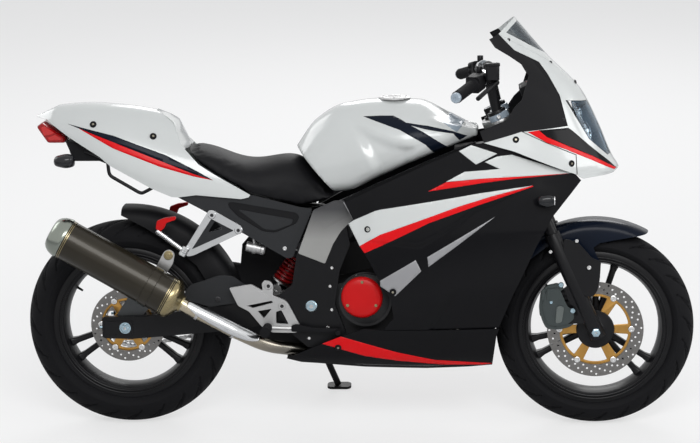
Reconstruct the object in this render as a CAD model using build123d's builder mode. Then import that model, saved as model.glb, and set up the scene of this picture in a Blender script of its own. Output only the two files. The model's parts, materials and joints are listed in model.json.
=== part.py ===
from build123d import *
from collections import namedtuple
from math import cos, radians, sin
import os

os.makedirs("parts", exist_ok=True)

# A road sport bike standing on its side stand, in millimetres.
# It is built upright: +X forward, +Y to the rider's left, +Z up, with the
# rear axle above x = 0 and the ground at z = 0. At the end every piece gets
# the same PARK move, which leans the bike onto its side stand.

# ---------------------------------------------------------------- driving sizes
WHEELBASE = 1390.0
RAKE = 24.0                 # steering axis from the vertical, degrees
FORK_OFFSET = 30.0          # front axle ahead of the steering axis
STEER_STOP = 27.0           # steering travel each way, degrees
LEAN = 9.0                  # lean on the side stand, degrees
RUN = 0.1                   # radial running clearance of a shaft in its hole
SEAT_GAP = 0.3              # gap between a piece and the curved face it sits on
CLEAR = 5.0                 # gap beside a disc that turns
SKIN = 3.5                  # wall of the body panels

REAR_RADIUS = 307.0         # 130/70-17 tyre
FRONT_RADIUS = 293.0        # 110/70-17 tyre
RIM_SEAT = 216.0            # bead seat of a 17 inch rim
RIM_FLANGE = 229.0
RIM_LIP = 198.0             # inner edge of the rim's visible lip
RIM_WELL = 188.0            # inside of the barrel at its middle

FORK_SPREAD = 192.0         # between the fork legs' axes
STANCHION_R = 18.5
SLIDER_R = 23.0
SLIDER_TOP = 318.0          # heights along the steering axis, from axle level
FORK_TOP = 712.0
LOWER_YOKE = 497.0
UPPER_YOKE = FORK_TOP - 44.0
YOKE_T = 24.0
STEM_R = 15.0
HEAD_TUBE_R = 31.0

AXLE_R = 8.0
AXLE_HEAD_R = 12.0
FRONT_HUB_HALF = 57.0
REAR_HUB_HALF = 58.0
ROTOR_T = 4.0
CARRIER_T = 5.0

ARM_IN = 94.0               # swingarm arms, inner and outer faces
ARM_OUT = 118.0
PIVOT_X = 556.0
PIVOT_Z = 376.0
PIVOT_R = 10.0
PLATE_OUT = 136.0           # outer face of the frame's pivot plates

CHAIN_Y = 80.0
CHAIN_HALF = 8.0
SPROCKET_R = 90.0
DRIVE_R = 30.0
DRIVE_X = 640.0
DRIVE_Z = 372.0
CHAIN_T = 11.0
CHAIN_GAP = 2.0

MUFFLER_Y = -196.0
MUFFLER_R = 59.0
PIPE_R = 20.0

SPAR_IN = 96.0
SPAR_OUT = 118.0
RAIL_R = 11.0
RAIL_Y = SPAR_IN - RAIL_R - SEAT_GAP

# ---------------------------------------------------------------- derived places
RAKE_RAD = radians(RAKE)
FORWARD = Vector(cos(RAKE_RAD), 0, sin(RAKE_RAD))
AXIS = Vector(-sin(RAKE_RAD), 0, cos(RAKE_RAD))
REAR_AXLE = Vector(0, 0, REAR_RADIUS)
FRONT_AXLE = Vector(WHEELBASE, 0, FRONT_RADIUS)
STEER_FOOT = FRONT_AXLE - FORWARD * FORK_OFFSET
HEAD = Plane(origin=STEER_FOOT, x_dir=FORWARD, z_dir=AXIS)
LEG_Y = FORK_SPREAD / 2
SIDE = Plane.XZ             # sketches in side view; extrusion runs to the right, -Y


def on_head(ahead, left, up):
    """A point given from the steering axis: ahead of it, to the left, up along it."""
    return STEER_FOOT + FORWARD * ahead + Vector(0, left, 0) + AXIS * up


def rod(start, end, radius):
    """A round bar between two points."""
    start, end = Vector(*start), Vector(*end)
    run = end - start
    with BuildPart() as bar:
        with BuildSketch(Plane(origin=start, z_dir=run.normalized())):
            Circle(radius)
        extrude(amount=run.length)
    return bar.part


def plate(outline, inner, outer, mirrored=True):
    """Plates with a side-view outline between |y| = inner and outer, on the
    right side, or on both."""
    with BuildPart() as slab:
        with BuildSketch(SIDE.offset(inner)):
            with BuildLine():
                Polyline(*outline, close=True)
            make_face()
        extrude(amount=outer - inner)
        if mirrored:
            mirror(about=Plane.XZ)
    return slab.part


def across(x, z, radius, left, right):
    """A round piece lying across the bike from y = right to y = left."""
    with BuildPart() as drum:
        with BuildSketch(SIDE.offset(-left)):
            with Locations((x, z)):
                Circle(radius)
        extrude(amount=left - right)
    return drum.part


PIECES = {}


def keep(node, *solids):
    """Files one node's solids under its name, still upright."""
    PIECES[node] = solids[0] if len(solids) == 1 else Compound(children=list(solids))


# ---------------------------------------------------------------- wheels
Wheel = namedtuple("Wheel", "end axle radius half side_r seat_half hub_half hub_r"
                            " spoke_at disc_r disc_in disc_y")
WHEELS = [
    Wheel("rear", REAR_AXLE, REAR_RADIUS, 65.0, 250.0, 44.0, REAR_HUB_HALF, 40.0,
          88.0, 111.0, 80.0, -63.0),
    Wheel("front", FRONT_AXLE, FRONT_RADIUS, 55.0, 243.0, 38.0, FRONT_HUB_HALF, 34.0,
          80.0, 142.0, 106.0, -62.0),
]
TYRE_WALL = 9.0
FLANGE_T = 6.0
SPOKE_PAIR = 8.0            # half angle between the two spokes of a pair
SPOKE_WIDE = 21.0
SPOKE_HALF = 17.0
CARRIER_ARM = 22.0
ARMS = 6
HOLE_R = AXLE_R + RUN

for w in WHEELS:
    wheel_plane = Plane(origin=w.axle, x_dir=(1, 0, 0), z_dir=(0, -1, 0))
    section = Plane(origin=w.axle, x_dir=(1, 0, 0), z_dir=(0, 0, 1))
    spin = Axis(w.axle, (0, 1, 0))
    bead = w.seat_half

    with BuildPart() as tyre:
        with BuildSketch(section):
            with BuildLine():
                seat_r = RIM_SEAT + RUN
                Polyline((seat_r, bead), (RIM_FLANGE, bead), (w.side_r, w.half))
                ThreePointArc((w.side_r, w.half), (w.radius, 0), (w.side_r, -w.half))
                Polyline((w.side_r, -w.half), (RIM_FLANGE, -bead), (seat_r, -bead),
                         (seat_r, TYRE_WALL - bead), (w.side_r, TYRE_WALL - w.half))
                ThreePointArc((w.side_r, TYRE_WALL - w.half), (w.radius - TYRE_WALL, 0),
                              (w.side_r, w.half - TYRE_WALL))
                Polyline((w.side_r, w.half - TYRE_WALL), (seat_r, bead - TYRE_WALL),
                         (seat_r, bead))
            make_face()
        revolve(axis=spin)
    keep(f"{w.end}_tyre", tyre.part)

    with BuildPart() as rim:
        with BuildSketch(section):
            with BuildLine():
                Polyline(
                    (RIM_SEAT, bead), (RIM_FLANGE, bead), (RIM_FLANGE, bead + FLANGE_T),
                    (RIM_LIP, bead + FLANGE_T), (RIM_WELL, 12), (RIM_WELL, -12),
                    (RIM_LIP, -bead - FLANGE_T), (RIM_FLANGE, -bead - FLANGE_T),
                    (RIM_FLANGE, -bead), (RIM_SEAT, -bead), (RIM_SEAT, 14 - bead),
                    (RIM_LIP + 4, 26 - bead), (RIM_LIP + 4, bead - 26), (RIM_SEAT, bead - 14),
                    close=True)
            make_face()
        revolve(axis=spin)
        spoke_long = RIM_LIP - 4 - w.hub_r / 2
        with BuildSketch(wheel_plane):
            for side in (-1, 1):
                with PolarLocations(w.hub_r / 2 + spoke_long / 2, 3,
                                    start_angle=w.spoke_at + side * SPOKE_PAIR):
                    Rectangle(spoke_long, SPOKE_WIDE)
        extrude(amount=SPOKE_HALF, both=True)
        with BuildSketch(wheel_plane):
            Circle(w.hub_r)
        extrude(amount=w.hub_half, both=True)
        with BuildSketch(wheel_plane):
            Circle(HOLE_R)
        extrude(amount=w.hub_half, both=True, mode=Mode.SUBTRACT)
    keep(f"{w.end}_rim", rim.part)

    with BuildPart() as brake_disc:
        hub_face = wheel_plane.offset(w.hub_half)
        with BuildSketch(hub_face):
            Circle(w.disc_in + 6)
            Circle(w.disc_in - 6, mode=Mode.SUBTRACT)
            Circle(w.hub_r + 8)
            with PolarLocations(w.disc_in / 2, ARMS):
                Rectangle(w.disc_in, CARRIER_ARM)
            Circle(w.hub_r - 8, mode=Mode.SUBTRACT)
        extrude(amount=CARRIER_T)
        with BuildSketch(hub_face.offset(CARRIER_T)):
            Circle(w.disc_r)
            Circle(w.disc_in, mode=Mode.SUBTRACT)
        extrude(amount=ROTOR_T)
    keep(f"{w.end}_brake_disc", brake_disc.part)

# rear sprocket on its drum, on the left of the rear hub
SPROCKET_T = 6.0
SPROCKET_DRUM_R = 52.0
rear_side = Plane(origin=REAR_AXLE, x_dir=(1, 0, 0), z_dir=(0, -1, 0))
with BuildPart() as rear_sprocket:
    with BuildSketch(rear_side.offset(-CHAIN_Y - SPROCKET_T / 2)):
        Circle(SPROCKET_R)
        Circle(HOLE_R, mode=Mode.SUBTRACT)
        with PolarLocations((SPROCKET_R + SPROCKET_DRUM_R) / 2, 5, start_angle=36):
            Circle(13, mode=Mode.SUBTRACT)
    extrude(amount=SPROCKET_T)
    with BuildSketch(rear_side.offset(-CHAIN_Y + SPROCKET_T / 2)):
        Circle(SPROCKET_DRUM_R)
        Circle(HOLE_R, mode=Mode.SUBTRACT)
    extrude(amount=CHAIN_Y - SPROCKET_T / 2 - REAR_HUB_HALF)
keep("rear_sprocket", rear_sprocket.part)

# ---------------------------------------------------------------- fork
SLIDER_FOOT = -20.0
SLIDER_LUG_T = 9.0
COLLAR_R = 14.0
HUB_PLAY = 0.5

with BuildPart() as fork_sliders:
    with BuildSketch(HEAD.offset(SLIDER_FOOT)):
        with Locations((FORK_OFFSET, LEG_Y), (FORK_OFFSET, -LEG_Y)):
            Circle(SLIDER_R)
    extrude(amount=SLIDER_TOP - SLIDER_FOOT)
    # caliper lug on the right leg
    with BuildSketch(SIDE.offset(LEG_Y + 4)):
        with BuildLine():
            Polyline(*[(on_head(a, 0, u).X, on_head(a, 0, u).Z) for a, u in
                       ((FORK_OFFSET, 30), (-48, 60), (-58, 118), (-30, 150),
                        (FORK_OFFSET, 165))], close=True)
        make_face()
    extrude(amount=SLIDER_LUG_T)
    with BuildSketch(SIDE.offset(-150)):
        with Locations((FRONT_AXLE.X, FRONT_AXLE.Z)):
            Circle(HOLE_R)
    extrude(amount=300, mode=Mode.SUBTRACT)
    for left in (LEG_Y + 40, -LEG_Y - 15):
        with BuildSketch(SIDE.offset(-left)):
            with Locations((FRONT_AXLE.X, FRONT_AXLE.Z)):
                Circle(AXLE_R + 4)
        extrude(amount=25, mode=Mode.SUBTRACT)
    with BuildSketch(HEAD.offset(SLIDER_TOP)):
        with Locations((FORK_OFFSET, LEG_Y), (FORK_OFFSET, -LEG_Y)):
            Circle(STANCHION_R + RUN)
    extrude(amount=-40, mode=Mode.SUBTRACT)
keep("fork_sliders", fork_sliders.part)

with BuildPart() as fork_stanchions:
    with BuildSketch(HEAD.offset(SLIDER_TOP - 40)):
        with Locations((FORK_OFFSET, LEG_Y), (FORK_OFFSET, -LEG_Y)):
            Circle(STANCHION_R)
    extrude(amount=FORK_TOP - SLIDER_TOP + 40)
keep("fork_stanchions", fork_stanchions.part)

with BuildPart() as front_axle:
    with BuildSketch(SIDE.offset(-LEG_Y - 15)):
        with Locations((FRONT_AXLE.X, FRONT_AXLE.Z)):
            Circle(AXLE_R)
    extrude(amount=2 * (LEG_Y + 15))
    for left, right in ((LEG_Y - SLIDER_R, FRONT_HUB_HALF + HUB_PLAY),
                        (-FRONT_HUB_HALF - HUB_PLAY, SLIDER_R - LEG_Y)):
        with BuildSketch(SIDE.offset(-left)):
            with Locations((FRONT_AXLE.X, FRONT_AXLE.Z)):
                Circle(COLLAR_R)
        extrude(amount=left - right)
    for left in (LEG_Y + 21, -LEG_Y - 15):
        with BuildSketch(SIDE.offset(-left)):
            with Locations((FRONT_AXLE.X, FRONT_AXLE.Z)):
                Circle(AXLE_R + 3)
        extrude(amount=6)
keep("front_axle", front_axle.part)

YOKE_REACH = 27.0           # yoke metal round each stanchion
for node, level, neck in (("lower_yoke", LOWER_YOKE, True), ("upper_yoke", UPPER_YOKE, False)):
    with BuildPart() as yoke:
        with BuildSketch(HEAD.offset(level)):
            with BuildLine():
                Polyline((-26, -34), (-26, 34), (FORK_OFFSET - 20, LEG_Y + 8),
                         (FORK_OFFSET + 20, LEG_Y + 8), (FORK_OFFSET + 18, 0),
                         (FORK_OFFSET + 20, -LEG_Y - 8), (FORK_OFFSET - 20, -LEG_Y - 8),
                         close=True)
            make_face()
            with Locations((FORK_OFFSET, LEG_Y), (FORK_OFFSET, -LEG_Y)):
                Circle(YOKE_REACH)
                Circle(STANCHION_R + RUN, mode=Mode.SUBTRACT)
            if not neck:
                Circle(STEM_R + RUN, mode=Mode.SUBTRACT)
        extrude(amount=YOKE_T)
        if neck:
            with BuildSketch(HEAD.offset(level + YOKE_T)):
                Circle(STEM_R)
            extrude(amount=UPPER_YOKE + YOKE_T - LOWER_YOKE - YOKE_T + 8)
    keep(node, yoke.part)

# front fender: a shell round the tyre with side plates down to the sliders
FENDER_R = 325.0
FENDER_HALF = 69.0
FENDER_FRONT = 61.0         # degrees from the forward direction
FENDER_REAR = 148.0


def arc_shell(centre, radius, wall, half, start, stop, curl):
    """A mudguard: a slice of tube round an axle whose edges curl down."""
    with BuildPart() as guard:
        with BuildSketch(Plane(origin=centre, x_dir=(1, 0, 0), z_dir=(0, 0, 1))):
            with BuildLine():
                inner, inner_half = radius - wall, half - wall
                ThreePointArc((radius - curl, half), (radius, 0), (radius - curl, -half))
                Line((radius - curl, -half), (radius - curl, -inner_half))
                ThreePointArc((radius - curl, -inner_half), (inner, 0),
                              (radius - curl, inner_half))
                Line((radius - curl, inner_half), (radius - curl, half))
            make_face()
        revolve(axis=Axis(centre, (0, -1, 0)), revolution_arc=stop - start)
    turned = guard.part.rotate(Axis(centre, (0, -1, 0)), start)
    return turned


FENDER_WALL = 3.0
FENDER_CURL = 40.0
with BuildPart() as front_fender:
    add(arc_shell(FRONT_AXLE, FENDER_R, FENDER_WALL, FENDER_HALF, FENDER_FRONT, FENDER_REAR,
                  FENDER_CURL))
    add(plate([(on_head(a, 0, u).X, on_head(a, 0, u).Z) for a, u in
               ((FORK_OFFSET - 22, 292), (FORK_OFFSET - 18, 190), (FORK_OFFSET + 22, 175),
                (FORK_OFFSET + 60, 250), (FORK_OFFSET + 90, 262), (FORK_OFFSET + 20, 282))],
              FENDER_HALF - FENDER_WALL, LEG_Y - SLIDER_R - SEAT_GAP))
keep("front_fender", front_fender.part)

# front caliper, straddling the rotor behind the right fork leg
CALIPER_AT = 150.0          # degrees round the axle from the forward direction
CALIPER_IN_R = 108.0
CALIPER_OUT_R = 172.0
CALIPER_LONG = 84.0


def caliper(axle, rotor_r, rotor_y, at, inside_r, outside_r, length, inner_y, outer_y):
    """A brake caliper: a block cut by the slot that its rotor runs in."""
    with BuildPart() as block:
        with BuildSketch(Plane(origin=axle, x_dir=(1, 0, 0), z_dir=(0, -1, 0))
                         .offset(-inner_y)):
            with PolarLocations((inside_r + outside_r) / 2, 1, start_angle=at):
                RectangleRounded(outside_r - inside_r, length, 14)
        extrude(amount=inner_y - outer_y)
        with BuildSketch(Plane(origin=axle, x_dir=(1, 0, 0), z_dir=(0, -1, 0))
                         .offset(-rotor_y - CLEAR)):
            Circle(rotor_r + CLEAR)
        extrude(amount=ROTOR_T + 2 * CLEAR, mode=Mode.SUBTRACT)
    return block.part


front_rotor_y = -FRONT_HUB_HALF - CARRIER_T     # inner face of the rotor
rear_rotor_y = -REAR_HUB_HALF - CARRIER_T
keep("front_caliper", caliper(FRONT_AXLE, WHEELS[1].disc_r, front_rotor_y, CALIPER_AT, CALIPER_IN_R,
                              CALIPER_OUT_R, CALIPER_LONG, front_rotor_y + 24, -LEG_Y - 4))

# ---------------------------------------------------------------- controls
BAR_TOP_Z = 1056.0
BAR_IN = Vector(1076, 122, BAR_TOP_Z)
BAR_END = Vector(990, 345, 1012)
BAR_R = 11.0
GRIP_R = 16.5
GRIP_LONG = 122.0
BAR_RUN = (BAR_END - BAR_IN).normalized()
BAR_LONG = (BAR_END - BAR_IN).length
CLIP_R = 27.0
PERCH_LONG = 22.0
PERCH_MID = BAR_LONG - GRIP_LONG - 63
MIRROR_BOSS_R = 9.0         # boss on each lever's perch, with the threaded hole for a mirror
MIRROR_BOSS_BACK = 4.0      # its axis behind the bar's
MIRROR_BOSS_TOP = 38.0
MIRROR_HOLE_R = 5.0
MIRROR_HOLE_DEEP = 14.0


def on_bar(along, side):
    """A point on the left (side 1) or right (side -1) handlebar's axis."""
    spot = BAR_IN + BAR_RUN * along
    return Vector(spot.X, side * spot.Y, spot.Z)


def bar_plane(along, side):
    run = BAR_RUN if side > 0 else Vector(BAR_RUN.X, -BAR_RUN.Y, BAR_RUN.Z)
    return Plane(origin=on_bar(along, side), x_dir=(0, 0, 1), z_dir=run)


handlebar_solids, grip_solids, switch_solids, lever_solids, boss_solids = [], [], [], [], []
for side in (1, -1):
    with BuildPart() as handlebar:
        with BuildSketch(HEAD.offset(UPPER_YOKE + YOKE_T)):
            with Locations((FORK_OFFSET, side * LEG_Y)):
                Circle(CLIP_R)
        extrude(amount=FORK_TOP + 4 - UPPER_YOKE - YOKE_T)
        foot = on_head(FORK_OFFSET, side * (LEG_Y + 6), FORK_TOP - 8)
        add(rod(foot, on_bar(0, side), 15))
        with Locations(on_bar(0, side)):
            Sphere(16)
        add(rod(on_bar(0, side), on_bar(BAR_LONG, side), BAR_R))
        with BuildSketch(HEAD.offset(SLIDER_TOP)):
            with Locations((FORK_OFFSET, side * LEG_Y)):
                Circle(STANCHION_R + RUN)
        extrude(amount=FORK_TOP - SLIDER_TOP + RUN, mode=Mode.SUBTRACT)
    handlebar_solids.append(handlebar.part)

    with BuildPart() as grip:
        with BuildSketch(bar_plane(BAR_LONG - GRIP_LONG, side)):
            Circle(GRIP_R)
            Circle(BAR_R + RUN, mode=Mode.SUBTRACT)
        extrude(amount=GRIP_LONG)
        with BuildSketch(bar_plane(BAR_LONG + RUN, side)):
            Circle(GRIP_R - 2)
        extrude(amount=14)
    grip_solids.extend(grip.part.solids())

    with BuildPart() as switches:
        with BuildSketch(bar_plane(BAR_LONG - GRIP_LONG - 46, side)):
            RectangleRounded(48, 42, 9)
            Circle(BAR_R + RUN, mode=Mode.SUBTRACT)
        extrude(amount=45)
    switch_solids.append(switches.part)

    with BuildPart() as lever:
        perch = bar_plane(PERCH_MID - PERCH_LONG / 2, side)
        with BuildSketch(perch):
            Circle(20)
            Circle(BAR_R + RUN, mode=Mode.SUBTRACT)
        extrude(amount=PERCH_LONG)
        root = on_bar(PERCH_MID, side)
        knuckle = root + Vector(44, side * 10, -8)
        add(rod(root + Vector(17, side * 3, 0), knuckle, 9))
        add(rod(knuckle, on_bar(BAR_LONG - 20, side) + Vector(52, 0, -10), 6.5))
        with Locations(knuckle):
            Sphere(10)
    lever_solids.append(lever.part)

    with BuildPart() as mirror_boss:
        boss_top = root + Vector(-MIRROR_BOSS_BACK, 0, MIRROR_BOSS_TOP)
        add(rod(root + Vector(-MIRROR_BOSS_BACK, 0, BAR_R + 2), boss_top, MIRROR_BOSS_R))
        add(rod(boss_top, boss_top - Vector(0, 0, MIRROR_HOLE_DEEP), MIRROR_HOLE_R),
            mode=Mode.SUBTRACT)
        add(lever.part, mode=Mode.SUBTRACT)
    boss_solids.append(mirror_boss.part)
keep("handlebars", *handlebar_solids)
keep("grips", *grip_solids)
keep("switch_housings", *switch_solids)

RESERVOIR = (40.0, 38.0, 46.0)
reservoir_at = on_bar(PERCH_MID, -1) + Vector(34, -27, 25)
with BuildPart() as brake_reservoir:
    with BuildSketch(Plane.XY.offset(reservoir_at.Z - RESERVOIR[2] / 2)):
        with Locations((reservoir_at.X, reservoir_at.Y)):
            RectangleRounded(RESERVOIR[0], RESERVOIR[1], 8)
    extrude(amount=RESERVOIR[2])
    add(rod(on_bar(PERCH_MID, -1) + Vector(15, 0, 0), reservoir_at, 7))
lever_solids[1] = lever_solids[1] + (brake_reservoir.part - handlebar_solids[1])
keep("levers", *lever_solids)
keep("mirror_bosses", *boss_solids)

# ---------------------------------------------------------------- rear end
AXLE_END = 122.0
with BuildPart() as rear_axle:
    add(across(0, REAR_RADIUS, AXLE_R, AXLE_END, -AXLE_END))
    for left in (AXLE_END + 6, -AXLE_END + 4):
        add(across(0, REAR_RADIUS, AXLE_HEAD_R, left, left - 10))
    add(across(0, REAR_RADIUS, COLLAR_R, ARM_IN, CHAIN_Y + SPROCKET_T / 2 + HUB_PLAY))
    add(across(0, REAR_RADIUS, COLLAR_R, -REAR_HUB_HALF - HUB_PLAY, -ARM_IN))

ARM_SIDE = ((-64, 339), (-64, 275), (20, 273), (330, 300), (480, 330), (590, 352), (590, 398),
            (500, 400), (350, 386), (60, 341))
CROSS_BOX = ((385, 318), (385, 384), (470, 384), (470, 322))
with BuildPart() as swingarm:
    add(plate(ARM_SIDE, ARM_IN, ARM_OUT))
    add(plate(CROSS_BOX, -ARM_IN, ARM_IN, mirrored=False))
    add(across(PIVOT_X, PIVOT_Z, 18, ARM_IN, -ARM_IN))
    add(across(PIVOT_X, PIVOT_Z, PIVOT_R + RUN, ARM_OUT, -ARM_OUT), mode=Mode.SUBTRACT)
    add(across(0, REAR_RADIUS, HOLE_R, ARM_OUT, -ARM_OUT), mode=Mode.SUBTRACT)
keep("swingarm", swingarm.part)

with BuildPart() as pivot_bolt:
    add(across(PIVOT_X, PIVOT_Z, PIVOT_R, PLATE_OUT, -PLATE_OUT))
    for left in (PLATE_OUT + 8, -PLATE_OUT):
        add(across(PIVOT_X, PIVOT_Z, PIVOT_R + 4, left, left - 8))
keep("swingarm_bolts", rear_axle.part, pivot_bolt.part)

REAR_CALIPER_AT = 55.0
CALIPER_BRACKET_T = 10.0
with BuildPart() as rear_caliper:
    add(caliper(REAR_AXLE, WHEELS[0].disc_r, rear_rotor_y, REAR_CALIPER_AT, 90.0, 146.0, 84.0,
                rear_rotor_y + 22, -ARM_IN + CALIPER_BRACKET_T))
    add(plate(((-26, 307), (-26, 345), (30, 430), (100, 395), (40, 330), (26, 307), (0, 285)),
              ARM_IN - CALIPER_BRACKET_T, ARM_IN, mirrored=False))
    add(across(0, REAR_RADIUS, COLLAR_R + SEAT_GAP, -60, -ARM_IN), mode=Mode.SUBTRACT)
keep("rear_caliper", rear_caliper.part)

with BuildPart() as chain:
    for reach, how in ((CHAIN_T, Mode.ADD), (0, Mode.SUBTRACT)):
        with BuildSketch(SIDE.offset(-CHAIN_Y - CHAIN_HALF)):
            with Locations((0, REAR_RADIUS)):
                Circle(SPROCKET_R + CHAIN_GAP + reach)
            with Locations((DRIVE_X, DRIVE_Z)):
                Circle(DRIVE_R + SEAT_GAP + reach)
            make_hull()
        extrude(amount=2 * CHAIN_HALF, mode=how)
keep("chain", chain.part)

HUGGER_R = 352.0
HUGGER_WALL = 3.0
HUGGER_HALF = 80.0
HUGGER_FRONT = 22.0         # degrees above the forward direction
HUGGER_REAR = 92.0
HUGGER_CURL = 30.0


def round_rear(radius, at):
    """A side-view point at an angle round the rear axle, from the forward direction."""
    return (radius * cos(radians(at)), REAR_RADIUS + radius * sin(radians(at)))


with BuildPart() as rear_hugger:
    add(arc_shell(REAR_AXLE, HUGGER_R, HUGGER_WALL, HUGGER_HALF, HUGGER_FRONT, HUGGER_REAR,
                  HUGGER_CURL))
    add(plate((round_rear(HUGGER_R - HUGGER_CURL - 15, HUGGER_FRONT + 27), (240, 404), (334, 396),
               round_rear(HUGGER_R - HUGGER_WALL, HUGGER_FRONT + 0.4),
               round_rear(HUGGER_R - HUGGER_CURL / 2, HUGGER_FRONT + 11)),
              HUGGER_HALF - HUGGER_WALL, HUGGER_HALF, mirrored=False))
    add(plate((round_rear(HUGGER_R - 8, HUGGER_FRONT + 0.4),
               round_rear(HUGGER_R + 4, HUGGER_FRONT + 1), (394, 384), (385, 384)), -55, 55,
              mirrored=False))
keep("rear_hugger", rear_hugger.part)

# ---------------------------------------------------------------- frame
NECK_LOW = LOWER_YOKE + YOKE_T + 1
NECK_HIGH = UPPER_YOKE - 1
with BuildPart() as head_tube:
    with BuildSketch(HEAD.offset(NECK_LOW)):
        Circle(HEAD_TUBE_R)
    extrude(amount=NECK_HIGH - NECK_LOW)
    add(plate(((1130, 850), (1160, 775), (1035, 745), (975, 770), (975, 825), (1040, 840)),
              -24, 24, mirrored=False))
    add(plate(((975, 770), (975, 825), (1030, 835), (1030, 760)), -SPAR_IN, SPAR_IN,
              mirrored=False))
    with BuildSketch(HEAD.offset(NECK_LOW - 5)):
        Circle(STEM_R + RUN)
    extrude(amount=NECK_HIGH - NECK_LOW + 10, mode=Mode.SUBTRACT)

SPAR_SIDE = ((1040, 858), (1036, 765), (900, 700), (700, 605), (640, 540), (575, 540),
             (560, 640), (625, 678), (763, 741), (908, 805))

PLATE_SIDE = ((660, 620), (575, 612), (520, 560), (500, 440), (452, 400), (455, 360),
              (500, 290), (545, 252), (650, 252), (655, 300), (625, 380), (640, 480), (672, 560))
with BuildPart() as pivot_plates:
    add(plate(PLATE_SIDE, SPAR_OUT, PLATE_OUT))
    add(across(PIVOT_X, PIVOT_Z, PIVOT_R + RUN, PLATE_OUT, -PLATE_OUT), mode=Mode.SUBTRACT)

STRUT_R = 11.0
STRUT_Y = SPAR_OUT - STRUT_R - SEAT_GAP
subframe_solids = []
for side in (1, -1):
    with BuildPart() as rail:
        add(rod((640, side * RAIL_Y, 630), (330, side * RAIL_Y, 662), RAIL_R))
        add(rod((330, side * RAIL_Y, 662), (-110, side * RAIL_Y, 838), RAIL_R))
        with Locations((330, side * RAIL_Y, 662)):
            Sphere(RAIL_R)
        add(rod((560, side * STRUT_Y, 499), (150, side * STRUT_Y, 716), STRUT_R))
        add(rod((150, side * STRUT_Y, 716), (110, side * RAIL_Y, 753), STRUT_R))
        with Locations((150, side * STRUT_Y, 716)):
            Sphere(STRUT_R)
    subframe_solids.append(rail.part)
with BuildPart() as subframe:
    add(subframe_solids)
    for x, z in ((330, 662), (110, 753)):
        add(across(x, z, RAIL_R - 1, RAIL_Y, -RAIL_Y))
keep("subframe", subframe.part)

# ---------------------------------------------------------------- engine
CLUTCH_X = 706.0
CLUTCH_Z = 405.0
CASE_Y = 110.0
with BuildPart() as engine:
    add(plate(((690, 250), (690, 450), (760, 470), (900, 420), (935, 330), (900, 262),
               (760, 250)), -CASE_Y, CASE_Y, mirrored=False))
    add(plate(((690, 250), (690, 450), (600, 430), (600, 256)), -64, CASE_Y, mirrored=False))
    add(plate(((770, 440), (900, 400), (985, 590), (860, 650)), -78, 78, mirrored=False))
    add(plate(((845, 600), (965, 545), (1000, 640), (890, 690)), -92, 92, mirrored=False))
    add(across(CLUTCH_X + 10, CLUTCH_Z - 9, 78, -CASE_Y, -CASE_Y - 38))
    add(across(860, 335, 72, CASE_Y + 34, CASE_Y))
    add(across(630, 282, 16, SPAR_OUT, -SPAR_OUT))
    add(across(DRIVE_X, DRIVE_Z, 14, CHAIN_Y + 8, 50))
    add(across(DRIVE_X, DRIVE_Z, DRIVE_R, CHAIN_Y + SPROCKET_T / 2, CHAIN_Y - SPROCKET_T / 2))
keep("engine", engine.part)

COVER_R = 61.0
keep("clutch_cover", across(CLUTCH_X, CLUTCH_Z, COVER_R, -CASE_Y - 38, -CASE_Y - 54))
with BuildPart() as radiator:
    add(plate(((1030, 480), (1062, 470), (1102, 660), (1070, 672)), -125, 125,
              mirrored=False))
    add(plate(((1066, 664), (1088, 664), (1052, 748.4), (1036, 744.8)), -15, 15,
              mirrored=False))
keep("radiator", radiator.part)

# ---------------------------------------------------------------- exhaust
CAN_BACK = Vector(-160, MUFFLER_Y, 588)
CAN_FRONT = Vector(135, MUFFLER_Y, 420)
CAN_RUN = (CAN_FRONT - CAN_BACK).normalized()
CAN_LONG = (CAN_FRONT - CAN_BACK).length
CAP_LONG = 44.0
CONE_LONG = 46.0
can_plane = Plane(origin=CAN_BACK, x_dir=(0, 1, 0), z_dir=CAN_RUN)
with BuildPart() as muffler:
    with BuildSketch(can_plane):
        Circle(MUFFLER_R)
    extrude(amount=CAN_LONG)

with BuildPart() as muffler_cap:
    with BuildSketch(can_plane):
        Circle(MUFFLER_R + 1)
    with BuildSketch(can_plane.offset(-CAP_LONG)):
        Circle(MUFFLER_R - 22)
    loft()
    with BuildSketch(can_plane.offset(-CAP_LONG)):
        Circle(22)
    extrude(amount=30, mode=Mode.SUBTRACT)

with BuildPart() as muffler_cone:
    with BuildSketch(can_plane.offset(CAN_LONG)):
        Circle(MUFFLER_R + 1)
    with BuildSketch(can_plane.offset(CAN_LONG + CONE_LONG)):
        Circle(PIPE_R + 4)
    loft()

HANGER_Y = 136.0            # face between the muffler's tab and its bracket
with BuildPart() as muffler_strap:
    with BuildSketch(can_plane.offset(CAN_LONG - 64)):
        Circle(MUFFLER_R + 3)
        Circle(MUFFLER_R, mode=Mode.SUBTRACT)
    extrude(amount=26)
    add(plate(((78, 436), (104, 436), (152, 500), (154, 540), (126, 545), (80, 470)),
              HANGER_Y, HANGER_Y + 5, mirrored=False))
    with BuildSketch(can_plane.offset(CAN_LONG - 90)):
        Circle(MUFFLER_R)
    extrude(amount=90, mode=Mode.SUBTRACT)
muffler_shell = muffler.part + muffler_cap.part + muffler_cone.part
keep("muffler", muffler_shell + muffler_strap.part)

pipe_start = CAN_FRONT + CAN_RUN * CONE_LONG
PIPE_ROUTE = [pipe_start, pipe_start + CAN_RUN * 60, (330, -186, 312), (422, -158, 262),
              (515, -84, 234), (720, -50, 228), (930, -36, 236), (1000, -20, 330),
              (1000, 0, 490), (965, 0, 566)]
PIPE_BENDS = [120, 160, 200, 260, 300, 90, 120, 60]
with BuildPart() as exhaust_pipe:
    with BuildLine() as route:
        FilletPolyline(*PIPE_ROUTE, radius=PIPE_BENDS)
    with BuildSketch(Plane(origin=route.line @ 0, z_dir=route.line % 0)):
        Circle(PIPE_R)
    sweep()
    add(engine.part, mode=Mode.SUBTRACT)
keep("exhaust_pipe", exhaust_pipe.part)

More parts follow.
